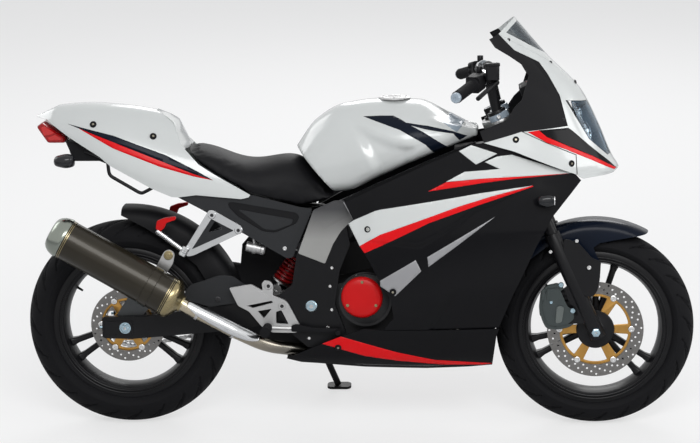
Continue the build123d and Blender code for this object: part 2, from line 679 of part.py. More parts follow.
# ---------------------------------------------------------------- tank and seat
Rib = namedtuple("Rib", "x low low_half mid mid_half high high_half top")


def hull_of_ribs(ribs, inset=0.0):
    """A closed body lofted along X through upright ribs, or its inside when inset."""
    with BuildPart() as hull:
        last = len(ribs) - 1
        for i, rib in enumerate(ribs):
            x = rib.x + (inset if i == 0 else -inset if i == last else 0)
            low = rib.low + inset
            low_half = rib.low_half - inset
            mid_half = rib.mid_half - inset
            high_half = rib.high_half - inset / 2
            high, top = rib.high - inset, rib.top - inset
            with BuildSketch(Plane(origin=(x, 0, 0), x_dir=(0, 1, 0), z_dir=(1, 0, 0))):
                with BuildLine():
                    Line((-low_half, low), (low_half, low))
                    ThreePointArc((low_half, low), (mid_half, rib.mid), (high_half, high))
                    ThreePointArc((high_half, high), (0, top), (-high_half, high))
                    ThreePointArc((-high_half, high), (-mid_half, rib.mid), (-low_half, low))
                make_face()
        loft()
    return hull.part


TANK_RIBS = [
    Rib(500, 700, 52, 760, 66, 800, 40, 824),
    Rib(570, 700, 78, 800, 96, 884, 52, 918),
    Rib(650, 703, 100, 820, 120, 925, 74, 963),
    Rib(760, 750, 126, 850, 150, 938, 92, 977),
    Rib(870, 800, 136, 873, 158, 938, 100, 974),
    Rib(960, 838, 124, 880, 140, 912, 88, 934),
    Rib(1040, 868, 66, 878, 76, 884, 50, 892),
]
TANK_WALL = 4.0
SEAT_NOSE = ((517, 830), (629, 702))        # where the seat meets the tank
SEAT_NOSE_RUN = Vector(SEAT_NOSE[1][0] - SEAT_NOSE[0][0], 0, SEAT_NOSE[1][1] - SEAT_NOSE[0][1])
NOSE_SHIFT = SEAT_GAP * SEAT_NOSE_RUN.length / -SEAT_NOSE_RUN.Z
TANK_REAR = ((400, 650), (400, 950), (412, 950),
             *[(x + NOSE_SHIFT, z) for x, z in SEAT_NOSE], (674.5, 650))
with BuildPart() as fuel_tank:
    add(hull_of_ribs(TANK_RIBS))
    add(plate(TANK_REAR, -200, 200, mirrored=False), mode=Mode.SUBTRACT)
    with BuildPart(mode=Mode.PRIVATE) as tank_room:
        add(hull_of_ribs(TANK_RIBS, TANK_WALL))
        add(plate([(x + 1.6 * TANK_WALL, z) for x, z in TANK_REAR], -200, 200,
                  mirrored=False), mode=Mode.SUBTRACT)
    add(tank_room.part, mode=Mode.SUBTRACT)
keep("fuel_tank", fuel_tank.part)

with BuildPart() as fuel_cap:
    with BuildSketch(Plane.XY.offset(974)):
        with Locations((800, 0)):
            Circle(46)
    extrude(amount=7)
    add(fuel_tank.part, mode=Mode.SUBTRACT)
    add(tank_room.part, mode=Mode.SUBTRACT)
keep("fuel_cap", fuel_cap.part)

SEAT_RIBS = [
    Rib(190, 800, 92, 825, 98, 836, 78, 850),
    Rib(250, 765, 112, 800, 118, 818, 92, 835),
    Rib(330, 716, 126, 765, 130, 786, 104, 807),
    Rib(420, 690, 128, 745, 132, 778, 100, 801),
    Rib(500, 668, 112, 740, 112, 786, 76, 809),
    Rib(560, 668, 98, 715, 94, 750, 60, 772),
    Rib(628, 690, 84, 697, 84, 703, 60, 708),
]
SEAT_BACK = ((188, 838), (229, 795), (279, 764), (356, 721))   # where it meets the tail
SEAT_SIDE = ((188, 870), *SEAT_BACK, (380, 704), (526, 665), (614, 690), *SEAT_NOSE[::-1],
             (500, 870))
with BuildPart() as seat:
    add(hull_of_ribs(SEAT_RIBS))
    add(plate(SEAT_SIDE, -160, 160, mirrored=False), mode=Mode.INTERSECT)
keep("seat", seat.part)

# ---------------------------------------------------------------- tail
TAIL_RIBS = [
    Rib(-270, 880, 26, 900, 34, 915, 24, 930),
    Rib(-200, 850, 66, 890, 78, 935, 54, 962),
    Rib(-100, 790, 100, 860, 106, 935, 74, 969),
    Rib(0, 740, 118, 830, 122, 925, 76, 962),
    Rib(130, 695, 128, 780, 130, 880, 84, 940),
    Rib(250, 680, 131, 740, 133, 830, 100, 900),
    Rib(390, 670, 133, 700, 134, 780, 110, 850),
]
TAIL_SIDE = ((-266, 928), (-167, 975), (60, 975), (91, 947), (129, 928), (150, 913),
             (161, 885), (175, 851), *[(x - SEAT_GAP, z - SEAT_GAP) for x, z in SEAT_BACK],
             (378, 704), (354, 694), (222, 706), (168, 699), (149, 700),
             (92, 724), (-35, 793), (-63, 817), (-156, 873), (-226, 921))
with BuildPart() as tail_cowl:
    add(hull_of_ribs(TAIL_RIBS))
    with BuildPart(mode=Mode.PRIVATE) as tail_room:
        add(hull_of_ribs(TAIL_RIBS, SKIN))
        add(plate(((-300, 600), (-300, 990), (140, 990), (165, 870), (186, 820), (420, 820),
                   (420, 600)), -160, 160, mirrored=False), mode=Mode.INTERSECT)
    add(tail_room.part, mode=Mode.SUBTRACT)
    add(plate(((100, 600), (400, 600), (400, 670), (100, 690)), -110, 110, mirrored=False),
        mode=Mode.SUBTRACT)
    add(plate(((-300, 600), (-300, 900), (-200, 870), (400, 660), (400, 600)), -110, 110,
              mirrored=False), mode=Mode.SUBTRACT)
    add(plate(TAIL_SIDE, -160, 160, mirrored=False), mode=Mode.INTERSECT)
keep("tail_cowl", tail_cowl.part)

LIGHT_FOOT = (-171, 858)
with BuildPart() as undertail:
    add(plate((LIGHT_FOOT, (-146, 800), (-71, 800), (160, 705), (330, 684), (330, 700),
               (160, 735), (-60, 850)), -RAIL_Y + RAIL_R + SEAT_GAP,
              RAIL_Y - RAIL_R - SEAT_GAP, mirrored=False))
    add(across(330, 662, RAIL_R, 120, -120), mode=Mode.SUBTRACT)
    add(across(110, 753, RAIL_R, 120, -120), mode=Mode.SUBTRACT)
keep("undertail", undertail.part)

keep("tail_light", plate(((-262, 900), (-243, 914), (-175, 872),
                          (LIGHT_FOOT[0] - SEAT_GAP, LIGHT_FOOT[1]), (-178, 850), (-228, 850)),
                         -58, 58, mirrored=False))

SIGNAL_R = 22.0
with BuildPart() as rear_signals:
    add(rod((-140, -160, 812), (-140, 160, 812), 7))
    for side in (1, -1):
        with BuildSketch(SIDE.offset(-side * 145)):
            with Locations((-165, 810)):
                RectangleRounded(62, 42, 18)
        extrude(amount=side * 34, taper=14)
    add(undertail.part, mode=Mode.SUBTRACT)
keep("rear_signals", rear_signals.part)

LOOP_R = 4.0
LOOP_Y = 113.5
with BuildPart() as tail_loops:
    with BuildLine() as loop:
        FilletPolyline((-40, -LOOP_Y, 801), (-34, -LOOP_Y, 762), (54, -LOOP_Y, 710),
                       (100, -LOOP_Y, 730), radius=14)
    with BuildSketch(Plane(origin=loop.line @ 0, z_dir=loop.line % 0)):
        Circle(LOOP_R)
    sweep()
    mirror(about=Plane.XZ)
    add(tail_cowl.part, mode=Mode.SUBTRACT)
keep("tail_loops", tail_loops.part)

COVER_IN = 119.6
COVER_OUT = 123.6
BRACKET_BOLTS = ((267, 647), (344, 602))
with BuildPart() as side_covers:
    add(plate(((170, 700), (222, 706), (356, 696), (384, 705), (526, 665), (540, 668),
               (484, 520)), COVER_IN, COVER_OUT))
    for x, z in BRACKET_BOLTS:
        add(across(x, z, 10, 130, -130), mode=Mode.SUBTRACT)
    add(seat.part, mode=Mode.SUBTRACT)
    add(tail_cowl.part, mode=Mode.SUBTRACT)
keep("side_covers", *side_covers.part.solids())

keep("frame_covers", plate(((548, 668), (628, 690), (652, 690), (676, 642), (640, 620),
                            (618, 505), (530, 535), (522, 560)), PLATE_OUT, PLATE_OUT + 5))

# ---------------------------------------------------------------- fairing
Deck = namedtuple("Deck", "z back back_half mid mid_half corner corner_half front")


def hull_of_decks(decks, inset=0.0, ruled=False):
    """A closed body lofted upward through level decks, or its inside when inset.
    A deck runs back - mid - corner - front; with no front it ends at the corner."""
    with BuildPart() as hull:
        for deck in decks:
            beyond = inset if deck is decks[-1] else -inset if deck is decks[0] else 0
            back = deck.back - inset
            corner = deck.corner if deck.front else deck.corner + inset
            back_half = deck.back_half - inset
            mid_half = deck.mid_half - inset
            corner_half = deck.corner_half - inset
            with BuildSketch(Plane.XY.offset(deck.z + beyond)):
                with BuildLine():
                    Line((back, back_half), (back, -back_half))
                    ThreePointArc((back, -back_half), (deck.mid, -mid_half),
                                  (corner, -corner_half))
                    if deck.front:
                        ThreePointArc((corner, -corner_half), (deck.front - inset, 0),
                                      (corner, corner_half))
                    else:
                        Line((corner, -corner_half), (corner, corner_half))
                    ThreePointArc((corner, corner_half), (deck.mid, mid_half),
                                  (back, back_half))
                make_face()
        loft(ruled=ruled)
    return hull.part


UPPER_DECKS = [
    Deck(730, 1030, 196, 1220, 186, 1375, 106, 1440),
    Deck(790, 1030, 192, 1220, 184, 1385, 104, 1459),
    Deck(900, 1030, 178, 1190, 170, 1325, 104, 1399),
    Deck(1000, 1030, 164, 1180, 156, 1275, 96, 1347),
    Deck(1100, 1030, 144, 1130, 136, 1200, 82, 1250),
    Deck(1218, 1030, 120, 1090, 104, 1120, 62, 1148),
]
LOWER_DECKS = [
    Deck(180, 430, 92, 790, 112, 1120, 84, 0),
    Deck(230, 430, 134, 780, 152, 1120, 118, 0),
    Deck(310, 430, 154, 800, 184, 1130, 150, 0),
    Deck(450, 560, 178, 900, 208, 1230, 178, 0),
    Deck(600, 600, 184, 950, 215, 1290, 184, 0),
    Deck(700, 600, 182, 980, 210, 1370, 146, 0),
    Deck(800, 600, 172, 1000, 195, 1380, 112, 0),
    Deck(880, 600, 164, 1000, 184, 1380, 104, 0),
]
upper_hull = hull_of_decks(UPPER_DECKS)
upper_room = hull_of_decks(UPPER_DECKS, SKIN)
lower_hull = hull_of_decks(LOWER_DECKS, ruled=True)
lower_room = hull_of_decks(LOWER_DECKS, SKIN, ruled=True)
upper_skin = upper_hull - upper_room
lower_skin = lower_hull - lower_room

SCREEN_SIDE = ((1107, 1171), (1256, 1085), (1318, 1031), (1351, 987), (1430, 987),
               (1300, 1230), (1165, 1230), (1152, 1213))
INNER_SIDE = ((1080, 1157), (1107, 1171), (1152, 1124), (1224, 1086), (1249, 1052),
              (1284, 990), (1307, 903), (1172, 893), (1064, 863), (1052, 896), (1130, 929),
              (1152, 963), (1174, 985), (1185, 1022), (1194, 1050), (1173, 1084),
              (1140, 1107), (1097, 1133))
NOSE_SEAM = ((1064, 863), (1152, 840), (1331, 765), (1346, 747.5))  # nose to side fairing
NOSE_SIDE = ((1107, 1171), (1152, 1124), (1224, 1086), (1249, 1052), (1284, 990),
             (1307, 903), (1172, 893), *NOSE_SEAM, (1355, 737), (1446, 756), (1470, 779),
             (1480, 987), (1351, 987), (1318, 1031), (1256, 1085))
LAMP_SIDE = ((1317, 972), (1430, 960), (1490, 830), (1424, 812), (1368, 864), (1350, 896))
LAMP_IN = 18.0

keep("windscreen", upper_skin & plate(SCREEN_SIDE, -200, 200, mirrored=False))
inner_panel = upper_skin & plate(INNER_SIDE, -260, 260, mirrored=False)
keep("inner_fairing", *inner_panel.solids())
lamp_block = plate(LAMP_SIDE, LAMP_IN, 200)
headlights = upper_skin & lamp_block
keep("headlights", *headlights.solids())
keep("nose_cowl", (upper_skin & plate(NOSE_SIDE, -260, 260, mirrored=False)) - lamp_block)

FAIRING_SIDE = (*[(x - SEAT_GAP, z - SEAT_GAP) for x, z in NOSE_SEAM[::-1]],
                (1036, 858), (908, 806), (763, 741),
                (660, 692), (686, 640), (671, 630), (703, 565), (717, 544), (762, 459),
                (792, 406), (800, 350), (770, 312), (1107, 312), (1150, 420), (1215, 560),
                (1262, 647))
BELLY_SIDE = ((480, 218), (523, 206), (576, 203), (711, 191), (770, 189), (893, 185),
              (1016, 188), (1086, 193), (1099, 290), (1107, 311.7), (770, 311.7), (716, 318),
              (644, 293), (588, 269))
FLOOR_SIDE = ((480, 218), (523, 206), (576, 203), (711, 191), (770, 189), (893, 185),
              (1016, 188), (1086, 193), (1086, 197), (1016, 192), (893, 189), (770, 193),
              (711, 195), (576, 207), (523, 210))
fairing = lower_skin & plate(FAIRING_SIDE, 60, 260)
keep("side_fairings", *fairing.solids())
belly = (lower_skin & plate(BELLY_SIDE, 20, 260)) + (
    lower_hull & plate(FLOOR_SIDE, -160, 160, mirrored=False))
belly = belly - Pos(540, 160, 280) * Box(200, 200, 160)
keep("belly_pan", belly)

with BuildPart() as front_signals:
    for side in (1, -1):
        with BuildSketch(SIDE.offset(-side * 168)):
            with Locations((1243, 698)):
                RectangleRounded(54, 40, 16)
        extrude(amount=side * -59, taper=10)
    add(lower_hull, mode=Mode.SUBTRACT)
keep("front_signals", *front_signals.part.solids())


def head_side(*spots):
    """Side-view points given ahead of and up along the steering axis."""
    return [(on_head(ahead, 0, up).X, on_head(ahead, 0, up).Z) for ahead, up in spots]


with BuildPart() as fairing_stay:
    add(plate(head_side((HEAD_TUBE_R - 4, 560), (HEAD_TUBE_R - 4, 620), (128, 640),
                        (122, 718), (150, 718), (158, 590), (120, 560)), -12, 12,
              mirrored=False))
    with BuildPart(mode=Mode.PRIVATE) as cross_bar:
        add(plate(head_side((128, 600), (128, 618), (150, 618), (150, 600)), -220, 220,
                  mirrored=False))
        add(upper_room, mode=Mode.INTERSECT)
    add(cross_bar.part)
    add(head_tube.part, mode=Mode.SUBTRACT)
keep("fairing_stay", fairing_stay.part)

with BuildPart() as instruments:
    with BuildSketch(HEAD.offset(718)):
        with Locations((138, 0)):
            RectangleRounded(46, 160, 12)
    extrude(amount=24)
keep("instruments", instruments.part)

# ---------------------------------------------------------------- brackets and pegs
BRACKET_OUT = 136.0
with BuildPart() as passenger_brackets:
    add(plate(((254, 655), (275, 661), (357, 610), (353, 592), (205, 528), (125, 521),
               (125, 541), (180, 552)), COVER_OUT + SEAT_GAP, BRACKET_OUT))
    add(plate(((262, 627), (318, 597), (215, 551)), COVER_OUT, BRACKET_OUT),
        mode=Mode.SUBTRACT)
    for x, z in BRACKET_BOLTS:
        boss_in = STRUT_Y + STRUT_R + SEAT_GAP
        add(across(x, z, 9, -boss_in, -BRACKET_OUT))
        add(across(x, z, 9, BRACKET_OUT, boss_in))
PEG_R = 9.0
peg_y = BRACKET_OUT + PEG_R - 3
with BuildPart() as passenger_footrests:
    add(rod((184, -peg_y, 540), (104, -peg_y, 602), PEG_R))
    mirror(about=Plane.XZ)
    add(passenger_brackets.part)
keep("passenger_footrests", *passenger_footrests.part.solids())

with BuildPart() as rider_footrests:
    add(plate(((315, 430), (379, 438), (418, 424), (424, 445), (440, 445), (447, 420),
               (440, 408), (470, 394), (484, 384), (522, 318), (515, 300), (420, 304),
               (400, 322), (345, 372)), PLATE_OUT, PLATE_OUT + 12))
    add(plate(((452, 374), (489, 320), (428, 330)), PLATE_OUT, PLATE_OUT + 12),
        mode=Mode.SUBTRACT)
    add(across(427, 314, 13, -PLATE_OUT - 12, -PLATE_OUT - 102))
    add(across(427, 314, 13, PLATE_OUT + 102, PLATE_OUT + 12))
keep("rider_footrests", *rider_footrests.part.solids())

with BuildPart() as foot_levers:
    add(plate(((497, 302), (497, 322), (560, 314), (642, 310), (642, 298), (560, 300)),
              PLATE_OUT + 12, PLATE_OUT + 20))
    add(across(636, 304, 7, -PLATE_OUT - 12, -PLATE_OUT - 46))
    add(across(636, 304, 7, PLATE_OUT + 46, PLATE_OUT + 12))
keep("foot_levers", *foot_levers.part.solids())

SHOCK_TOP = Vector(560, 0, 575)
CROSS_TUBE_R = 12.0
SHOCK_FOOT = Vector(440, 0, 401.3)
shock_run = (SHOCK_TOP - SHOCK_FOOT).normalized()
with BuildPart() as rear_shock:
    add(rod(SHOCK_FOOT, SHOCK_TOP, 9))
    add(rod(SHOCK_FOOT + shock_run * 26, SHOCK_FOOT + shock_run * 140, 31))
    add(across(SHOCK_FOOT.X, SHOCK_FOOT.Z, 17, 14, -14))
    add(across(SHOCK_TOP.X, SHOCK_TOP.Z, 20, 14, -14))
    add(across(SHOCK_TOP.X, SHOCK_TOP.Z, CROSS_TUBE_R + SEAT_GAP, 40, -40),
        mode=Mode.SUBTRACT)
keep("rear_shock", rear_shock.part)

# ---------------------------------------------------------------- side stand
LEAN_RAD = radians(LEAN)
UP = Vector(0, -sin(LEAN_RAD), cos(LEAN_RAD))
STAND_PIVOT = Vector(530, 159, 264)
STAND_DIR = Vector(0.30, 0.42, -0.857).normalized()
TYRE_DROP = 0.8             # the leaning rear tyre's lowest line below the upright ground
STAND_AXIS = Vector(0, -STAND_DIR.Z, STAND_DIR.Y).normalized()
STAND_FOLD = 95.0
EYE_T = 10.0
EYE_R = 17.0
PIN_R = 6.0
reach = (STAND_PIVOT.dot(UP) + TYRE_DROP) / -STAND_DIR.dot(UP)
STAND_FOOT = STAND_PIVOT + STAND_DIR * reach
eye_plane = Plane(origin=STAND_PIVOT, x_dir=STAND_DIR, z_dir=STAND_AXIS)
with BuildPart() as side_stand:
    with BuildSketch(eye_plane.offset(-EYE_T / 2)):
        Circle(EYE_R)
        with Locations((26, 0)):
            Rectangle(52, 24)
    extrude(amount=EYE_T)
    add(rod(STAND_PIVOT + STAND_DIR * 46, STAND_FOOT - STAND_DIR * 12, 10))
    with BuildSketch(Plane(origin=STAND_FOOT, x_dir=(1, 0, 0), z_dir=UP)):
        RectangleRounded(74, 44, 16)
    extrude(amount=8)
    with BuildSketch(eye_plane.offset(-40)):
        Circle(PIN_R + RUN)
    extrude(amount=80, mode=Mode.SUBTRACT)
keep("side_stand", side_stand.part)

frame_side = plate(((450, 200), (450, 340), (620, 340), (620, 200)), -PLATE_OUT, 100,
                   mirrored=False)
with BuildPart() as stand_bracket:
    with BuildSketch(eye_plane.offset(-EYE_T / 2 - HUB_PLAY)):
        Circle(15)
    extrude(amount=-30)
    add(plate(((505, 282), (556, 282), (556, 254), (520, 254)), -PLATE_OUT - 6, -PLATE_OUT,
              mirrored=False))
    add(frame_side, mode=Mode.SUBTRACT)
    with BuildSketch(eye_plane.offset(-EYE_T / 2 - HUB_PLAY)):
        Circle(PIN_R)
    extrude(amount=EYE_T + 2 * HUB_PLAY)
    with BuildSketch(eye_plane.offset(EYE_T / 2 + HUB_PLAY)):
        Circle(11)
    extrude(amount=6)
with BuildPart() as frame:
    add(head_tube.part)
    add(plate(SPAR_SIDE, SPAR_IN, SPAR_OUT))
    add(pivot_plates.part)
    add(across(SHOCK_TOP.X, SHOCK_TOP.Z, CROSS_TUBE_R, SPAR_OUT - 2, 2 - SPAR_OUT))
    add(stand_bracket.part)
keep("frame", *frame.part.solids())

# ---------------------------------------------------------------- parked
MIDDLE = (WHEELBASE + FRONT_RADIUS - REAR_RADIUS) / 2
TILT = Location((0, 0, 0), (-LEAN, 0, 0))
boxes = [piece.moved(TILT).bounding_box() for piece in PIECES.values()]
LEFT_EDGE = max(box.max.Y for box in boxes)
RIGHT_EDGE = min(box.min.Y for box in boxes)
GROUND = min(box.min.Z for box in boxes)
PARK = Location((-MIDDLE, -(LEFT_EDGE + RIGHT_EDGE) / 2, -GROUND)) * TILT

if __name__ == "__main__":
    for node, piece in PIECES.items():
        parked = piece.moved(PARK)
        parked.label = node
        export_step(parked, f"parts/{node}.step")
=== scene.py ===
import json
import math
import bpy
import bmesh
from mathutils import Matrix, Vector


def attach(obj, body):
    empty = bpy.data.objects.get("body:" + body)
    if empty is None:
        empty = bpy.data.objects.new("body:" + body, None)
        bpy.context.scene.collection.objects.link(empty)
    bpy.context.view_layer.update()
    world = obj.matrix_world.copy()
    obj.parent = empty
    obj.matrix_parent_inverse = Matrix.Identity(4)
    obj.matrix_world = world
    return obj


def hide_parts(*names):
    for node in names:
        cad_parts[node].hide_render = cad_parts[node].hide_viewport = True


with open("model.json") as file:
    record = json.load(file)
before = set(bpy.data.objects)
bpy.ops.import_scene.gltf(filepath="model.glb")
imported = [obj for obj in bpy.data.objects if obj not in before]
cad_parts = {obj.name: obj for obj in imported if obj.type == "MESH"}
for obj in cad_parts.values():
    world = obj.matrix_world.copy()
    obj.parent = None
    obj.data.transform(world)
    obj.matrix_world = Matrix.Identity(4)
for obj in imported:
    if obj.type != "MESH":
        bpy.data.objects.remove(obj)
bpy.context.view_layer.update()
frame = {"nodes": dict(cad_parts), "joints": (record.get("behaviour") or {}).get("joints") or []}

NODES = frame["nodes"]

# The motorcycle is described upright, in millimetres: +X forward, +Y to the rider's left, the
# rear axle above x = 0 and the ground at z = 0. PARK leans it onto its side stand, in metres.
LEAN = math.radians(9.0)
REAR_AXLE = Vector((0.0, 0.0, 307.0))
FRONT_AXLE = Vector((1390.0, 0.0, 293.0))
LEANING = Matrix.Rotation(-LEAN, 4, "X")
rear_joint = next(j for j in frame["joints"] if j["name"] == "rear_wheel_spin")
SHIFT = Vector(rear_joint["pos_m"]) * 1000.0 - LEANING @ REAR_AXLE
PARK = Matrix.Scale(0.001, 4) @ Matrix.Translation(SHIFT) @ LEANING

RAKE = math.radians(24.0)
FORWARD = Vector((math.cos(RAKE), 0.0, math.sin(RAKE)))
STEER = Vector((-math.sin(RAKE), 0.0, math.cos(RAKE)))
STEER_FOOT = FRONT_AXLE - FORWARD * 30.0
ACROSS = Vector((0.0, 1.0, 0.0))
UP = (0, 0, 1)


# ---------------------------------------------------------------- materials
def node(nt, kind, **values):
    """A new node; names of sockets or of properties give their values."""
    n = nt.nodes.new(kind)
    for key, value in values.items():
        if hasattr(n, key) and key not in n.inputs:
            setattr(n, key, value)
        else:
            n.inputs[key].default_value = value
    return n


def feed(nt, socket, value):
    """Sets a socket, or links it when the value is another node's output."""
    if isinstance(value, bpy.types.NodeSocket):
        nt.links.new(value, socket)
    else:
        socket.default_value = (*value, 1.0) if isinstance(value, tuple) else value


def math_node(nt, op, *terms, clamp=False):
    """The output of a sum on values or other nodes' outputs."""
    n = node(nt, "ShaderNodeMath", operation=op, use_clamp=clamp)
    for socket, term in zip(n.inputs, terms):
        feed(nt, socket, term)
    return n.outputs[0]


def upright(nt):
    """The point in upright millimetres, as a vector and a node with its three parts."""
    place = node(nt, "ShaderNodeMapping", Scale=(1000, 1000, 1000), Rotation=(LEAN, 0, 0),
                 Location=-(LEANING.inverted() @ SHIFT))
    feed(nt, place.inputs["Vector"], node(nt, "ShaderNodeTexCoord").outputs["Object"])
    parts = node(nt, "ShaderNodeSeparateXYZ")
    feed(nt, parts.inputs[0], place.outputs[0])
    return place.outputs[0], parts.outputs


def mixed(nt, factor, a, b):
    """A colour: a where factor is 0, b where it is 1."""
    n = node(nt, "ShaderNodeMix", data_type="RGBA")
    for socket, value in ((0, factor), (6, a), (7, b)):
        feed(nt, n.inputs[socket], value)
    return n.outputs[2]


MOTTLE, MOTTLE_DETAIL, GRAIN_DETAIL = 0.012, 3.0, 2.0   # the noises, per millimetre
GRAIN_DEEP = 0.0006                                     # in metres
ROUGH_SPREAD = 0.12


def material(name, color, rough, metal=0.0, coat=0.0, grain=0.0, grain_size=2.0, vary=0.06,
             build=None, spec=0.5, clear=None):
    """A procedural material: slow variation of colour and roughness, and fine grain in bump.
    `build` paints over the base, and `clear` is a clear sheet's refractive index."""
    mat = bpy.data.materials.new(name)
    mat.use_nodes = True
    nt = mat.node_tree
    shader = nt.nodes["Principled BSDF"].inputs
    values = {"Metallic": metal, "Coat Weight": coat, "Coat Roughness": 0.05,
              "Specular IOR Level": spec}
    if clear:
        values |= {"Transmission Weight": 1.0, "IOR": clear}
    for key, value in values.items():
        shader[key].default_value = value
    where, parts = upright(nt)
    slow = node(nt, "ShaderNodeTexNoise", Scale=MOTTLE, Detail=MOTTLE_DETAIL)
    feed(nt, slow.inputs["Vector"], where)
    base = mixed(nt, slow.outputs["Fac"], tuple(c * (1 - vary) for c in color),
                 tuple(min(1.0, c * (1 + vary)) for c in color))
    feed(nt, shader["Base Color"], build(nt, base, parts) if build else base)
    spread = node(nt, "ShaderNodeMapRange")
    spread.inputs["To Min"].default_value = max(0.02, rough * (1 - ROUGH_SPREAD))
    spread.inputs["To Max"].default_value = min(1.0, rough * (1 + ROUGH_SPREAD))
    feed(nt, spread.inputs["Value"], slow.outputs["Fac"])
    feed(nt, shader["Roughness"], spread.outputs[0])
    if grain:
        fine = node(nt, "ShaderNodeTexNoise", Scale=1.0 / grain_size, Detail=GRAIN_DETAIL)
        feed(nt, fine.inputs["Vector"], where)
        bump = node(nt, "ShaderNodeBump", Strength=grain, Distance=GRAIN_DEEP)
        feed(nt, bump.inputs["Height"], fine.outputs["Fac"])
        feed(nt, shader["Normal"], bump.outputs[0])
    return mat


def fading(part, start, end, colour):
    """Paints towards a colour between two places along one upright axis."""
    def build(nt, base, parts):
        t = math_node(nt, "MULTIPLY_ADD", parts[part], 1.0 / (end - start),
                      -start / (end - start), clamp=True)
        return mixed(nt, t, base, colour)
    return build


# paint and plastics
m_white = material("pearl_white", (0.6, 0.62, 0.61), 0.22, coat=0.6, grain=0.02, vary=0.015)
m_black = material("gloss_black", (0.006, 0.006, 0.007), 0.16, grain=0.02, vary=0.1, spec=0.1)
m_navy = material("fender_navy", (0.005, 0.008, 0.016), 0.22, vary=0.1, spec=0.1, grain=0.02)
m_red_paint = material("red_paint", (0.7, 0.003, 0.006), 0.25, grain=0.02, vary=0.03, spec=0.2)
m_bluegrey = material("blue_grey_paint", (0.3, 0.36, 0.42), 0.25, coat=0.5, grain=0.02,
                      vary=0.03)
m_plastic = material("matte_black", (0.008, 0.008, 0.009), 0.55, grain=0.25, grain_size=1.2,
                     spec=0.12)
m_charcoal = material("charcoal", (0.02, 0.021, 0.023), 0.5, grain=0.2, grain_size=1.0,
                      spec=0.2)
m_silver = material("silver_panel", (0.3, 0.3, 0.31), 0.4, metal=0.5, grain=0.06)
# silver painted darker towards the top: painted shade on the frame covers
m_silver_top_shade = material("silver_painted_top_shade", (0.3, 0.3, 0.29), 0.42, metal=0.35, grain=0.06,
                  build=fading(2, 575, 665, (0.05, 0.05, 0.053)))
m_red = material("clutch_red", (0.54, 0.004, 0.005), 0.35, grain=0.03, spec=0.22)
m_dial = material("dial_white", (0.55, 0.56, 0.55), 0.4, grain=0.02)
m_display = material("display", (0.16, 0.19, 0.16), 0.2, grain=0.02)
# rubber and padding
m_rubber = material("rubber", (0.007, 0.007, 0.008), 0.7, grain=0.3, grain_size=1.5, spec=0.1)
m_leather = material("seat_vinyl", (0.006, 0.006, 0.007), 0.55, grain=0.5, grain_size=1.8,
                     spec=0.13)
# coated and cast metal
m_frame = material("frame_black", (0.007, 0.007, 0.008), 0.35, grain=0.06, spec=0.14)
m_fork = material("fork_black", (0.008, 0.008, 0.009), 0.32, grain=0.05, spec=0.16)
m_wheel = material("wheel_black", (0.008, 0.008, 0.009), 0.3, grain=0.03, spec=0.16)
m_spring = material("spring_red", (0.2, 0.003, 0.004), 0.35, grain=0.03, spec=0.3)
m_engine = material("engine_grey", (0.018, 0.018, 0.019), 0.42, metal=0.1, grain=0.25,
                    grain_size=1.5, spec=0.2)
m_can = material("muffler_can", (0.022, 0.018, 0.011), 0.32, metal=0.35, coat=0.15, grain=0.05,
                 spec=0.3)
m_caliper = material("caliper_grey", (0.06, 0.065, 0.068), 0.4, metal=0.4, grain=0.15)
m_casting = material("caliper_casting", (0.045, 0.055, 0.055), 0.4, metal=0.3, grain=0.3,
                     grain_size=1.5, spec=0.3)
m_casting_pale = material("caliper_cover", (0.11, 0.125, 0.12), 0.35, metal=0.3, grain=0.1)
m_alloy = material("cast_alloy", (0.5, 0.5, 0.5), 0.38, metal=1.0, grain=0.15, grain_size=1.5)
m_satin = material("satin_alloy", (0.42, 0.42, 0.42), 0.42, metal=0.85, grain=0.12,
                   grain_size=1.2)
# bare and plated metal
m_polish = material("polished_alloy", (0.58, 0.59, 0.6), 0.2, metal=1.0, grain=0.03)
m_steel = material("brushed_steel", (0.5, 0.5, 0.5), 0.3, metal=1.0, grain=0.08)
m_chrome = material("chrome", (0.8, 0.8, 0.8), 0.08, metal=1.0)
m_gold = material("gold_anodised", (0.4, 0.22, 0.06), 0.32, metal=1.0, grain=0.05)
m_disc = material("ground_disc", (0.17, 0.165, 0.16), 0.3, metal=1.0, grain=0.25,
                  grain_size=0.8)
m_bolt = material("zinc_bolt", (0.62, 0.62, 0.62), 0.25, metal=1.0, grain=0.05)
m_darkbolt = material("black_bolt", (0.03, 0.03, 0.032), 0.35, metal=0.6, grain=0.05)
m_stud = material("stud_steel", (0.3, 0.28, 0.22), 0.35, metal=0.9, grain=0.05)
m_zinc = material("blue_zinc", (0.36, 0.48, 0.55), 0.25, metal=1.0, grain=0.05)
m_cap = material("cast_end_cap", (0.24, 0.26, 0.23), 0.22, metal=1.0, grain=0.05)
m_brass = material("heat_brass", (0.3, 0.25, 0.14), 0.27, metal=1.0, grain=0.06)
m_pipe = material("tinted_pipe", (0.5, 0.44, 0.33), 0.22, metal=1.0, grain=0.06,
                  build=fading(0, 170, 500, (0.2, 0.19, 0.17)))
# lamps and screens
m_reflector = material("lamp_reflector", (0.1, 0.13, 0.16), 0.25, metal=0.7, grain=0.02)
m_glass = material("lamp_glass", (0.62, 0.7, 0.76), 0.03, vary=0.02, clear=1.25)
m_screen = material("clear_screen", (0.4, 0.43, 0.45), 0.04, vary=0.02, clear=1.2)
m_lens = material("clear_lens", (0.8, 0.82, 0.84), 0.08, coat=1.0)
m_smoke = material("smoked_lens", (0.012, 0.013, 0.015), 0.15, grain=0.03, spec=0.35)
m_redlens = material("red_lens", (0.32, 0.003, 0.004), 0.12, spec=0.35)
# a brighter red for the tail lamp's facets: painted highlight
m_facet_highlight_red = material("red_facet_painted_highlight", (0.55, 0.005, 0.005), 0.1, spec=0.6)


def dress(name, mat):
    """Gives a CAD node its material."""
    o = NODES[name]
    if not o.material_slots:
        o.data.materials.append(mat)
    for s in o.material_slots:
        s.material = mat


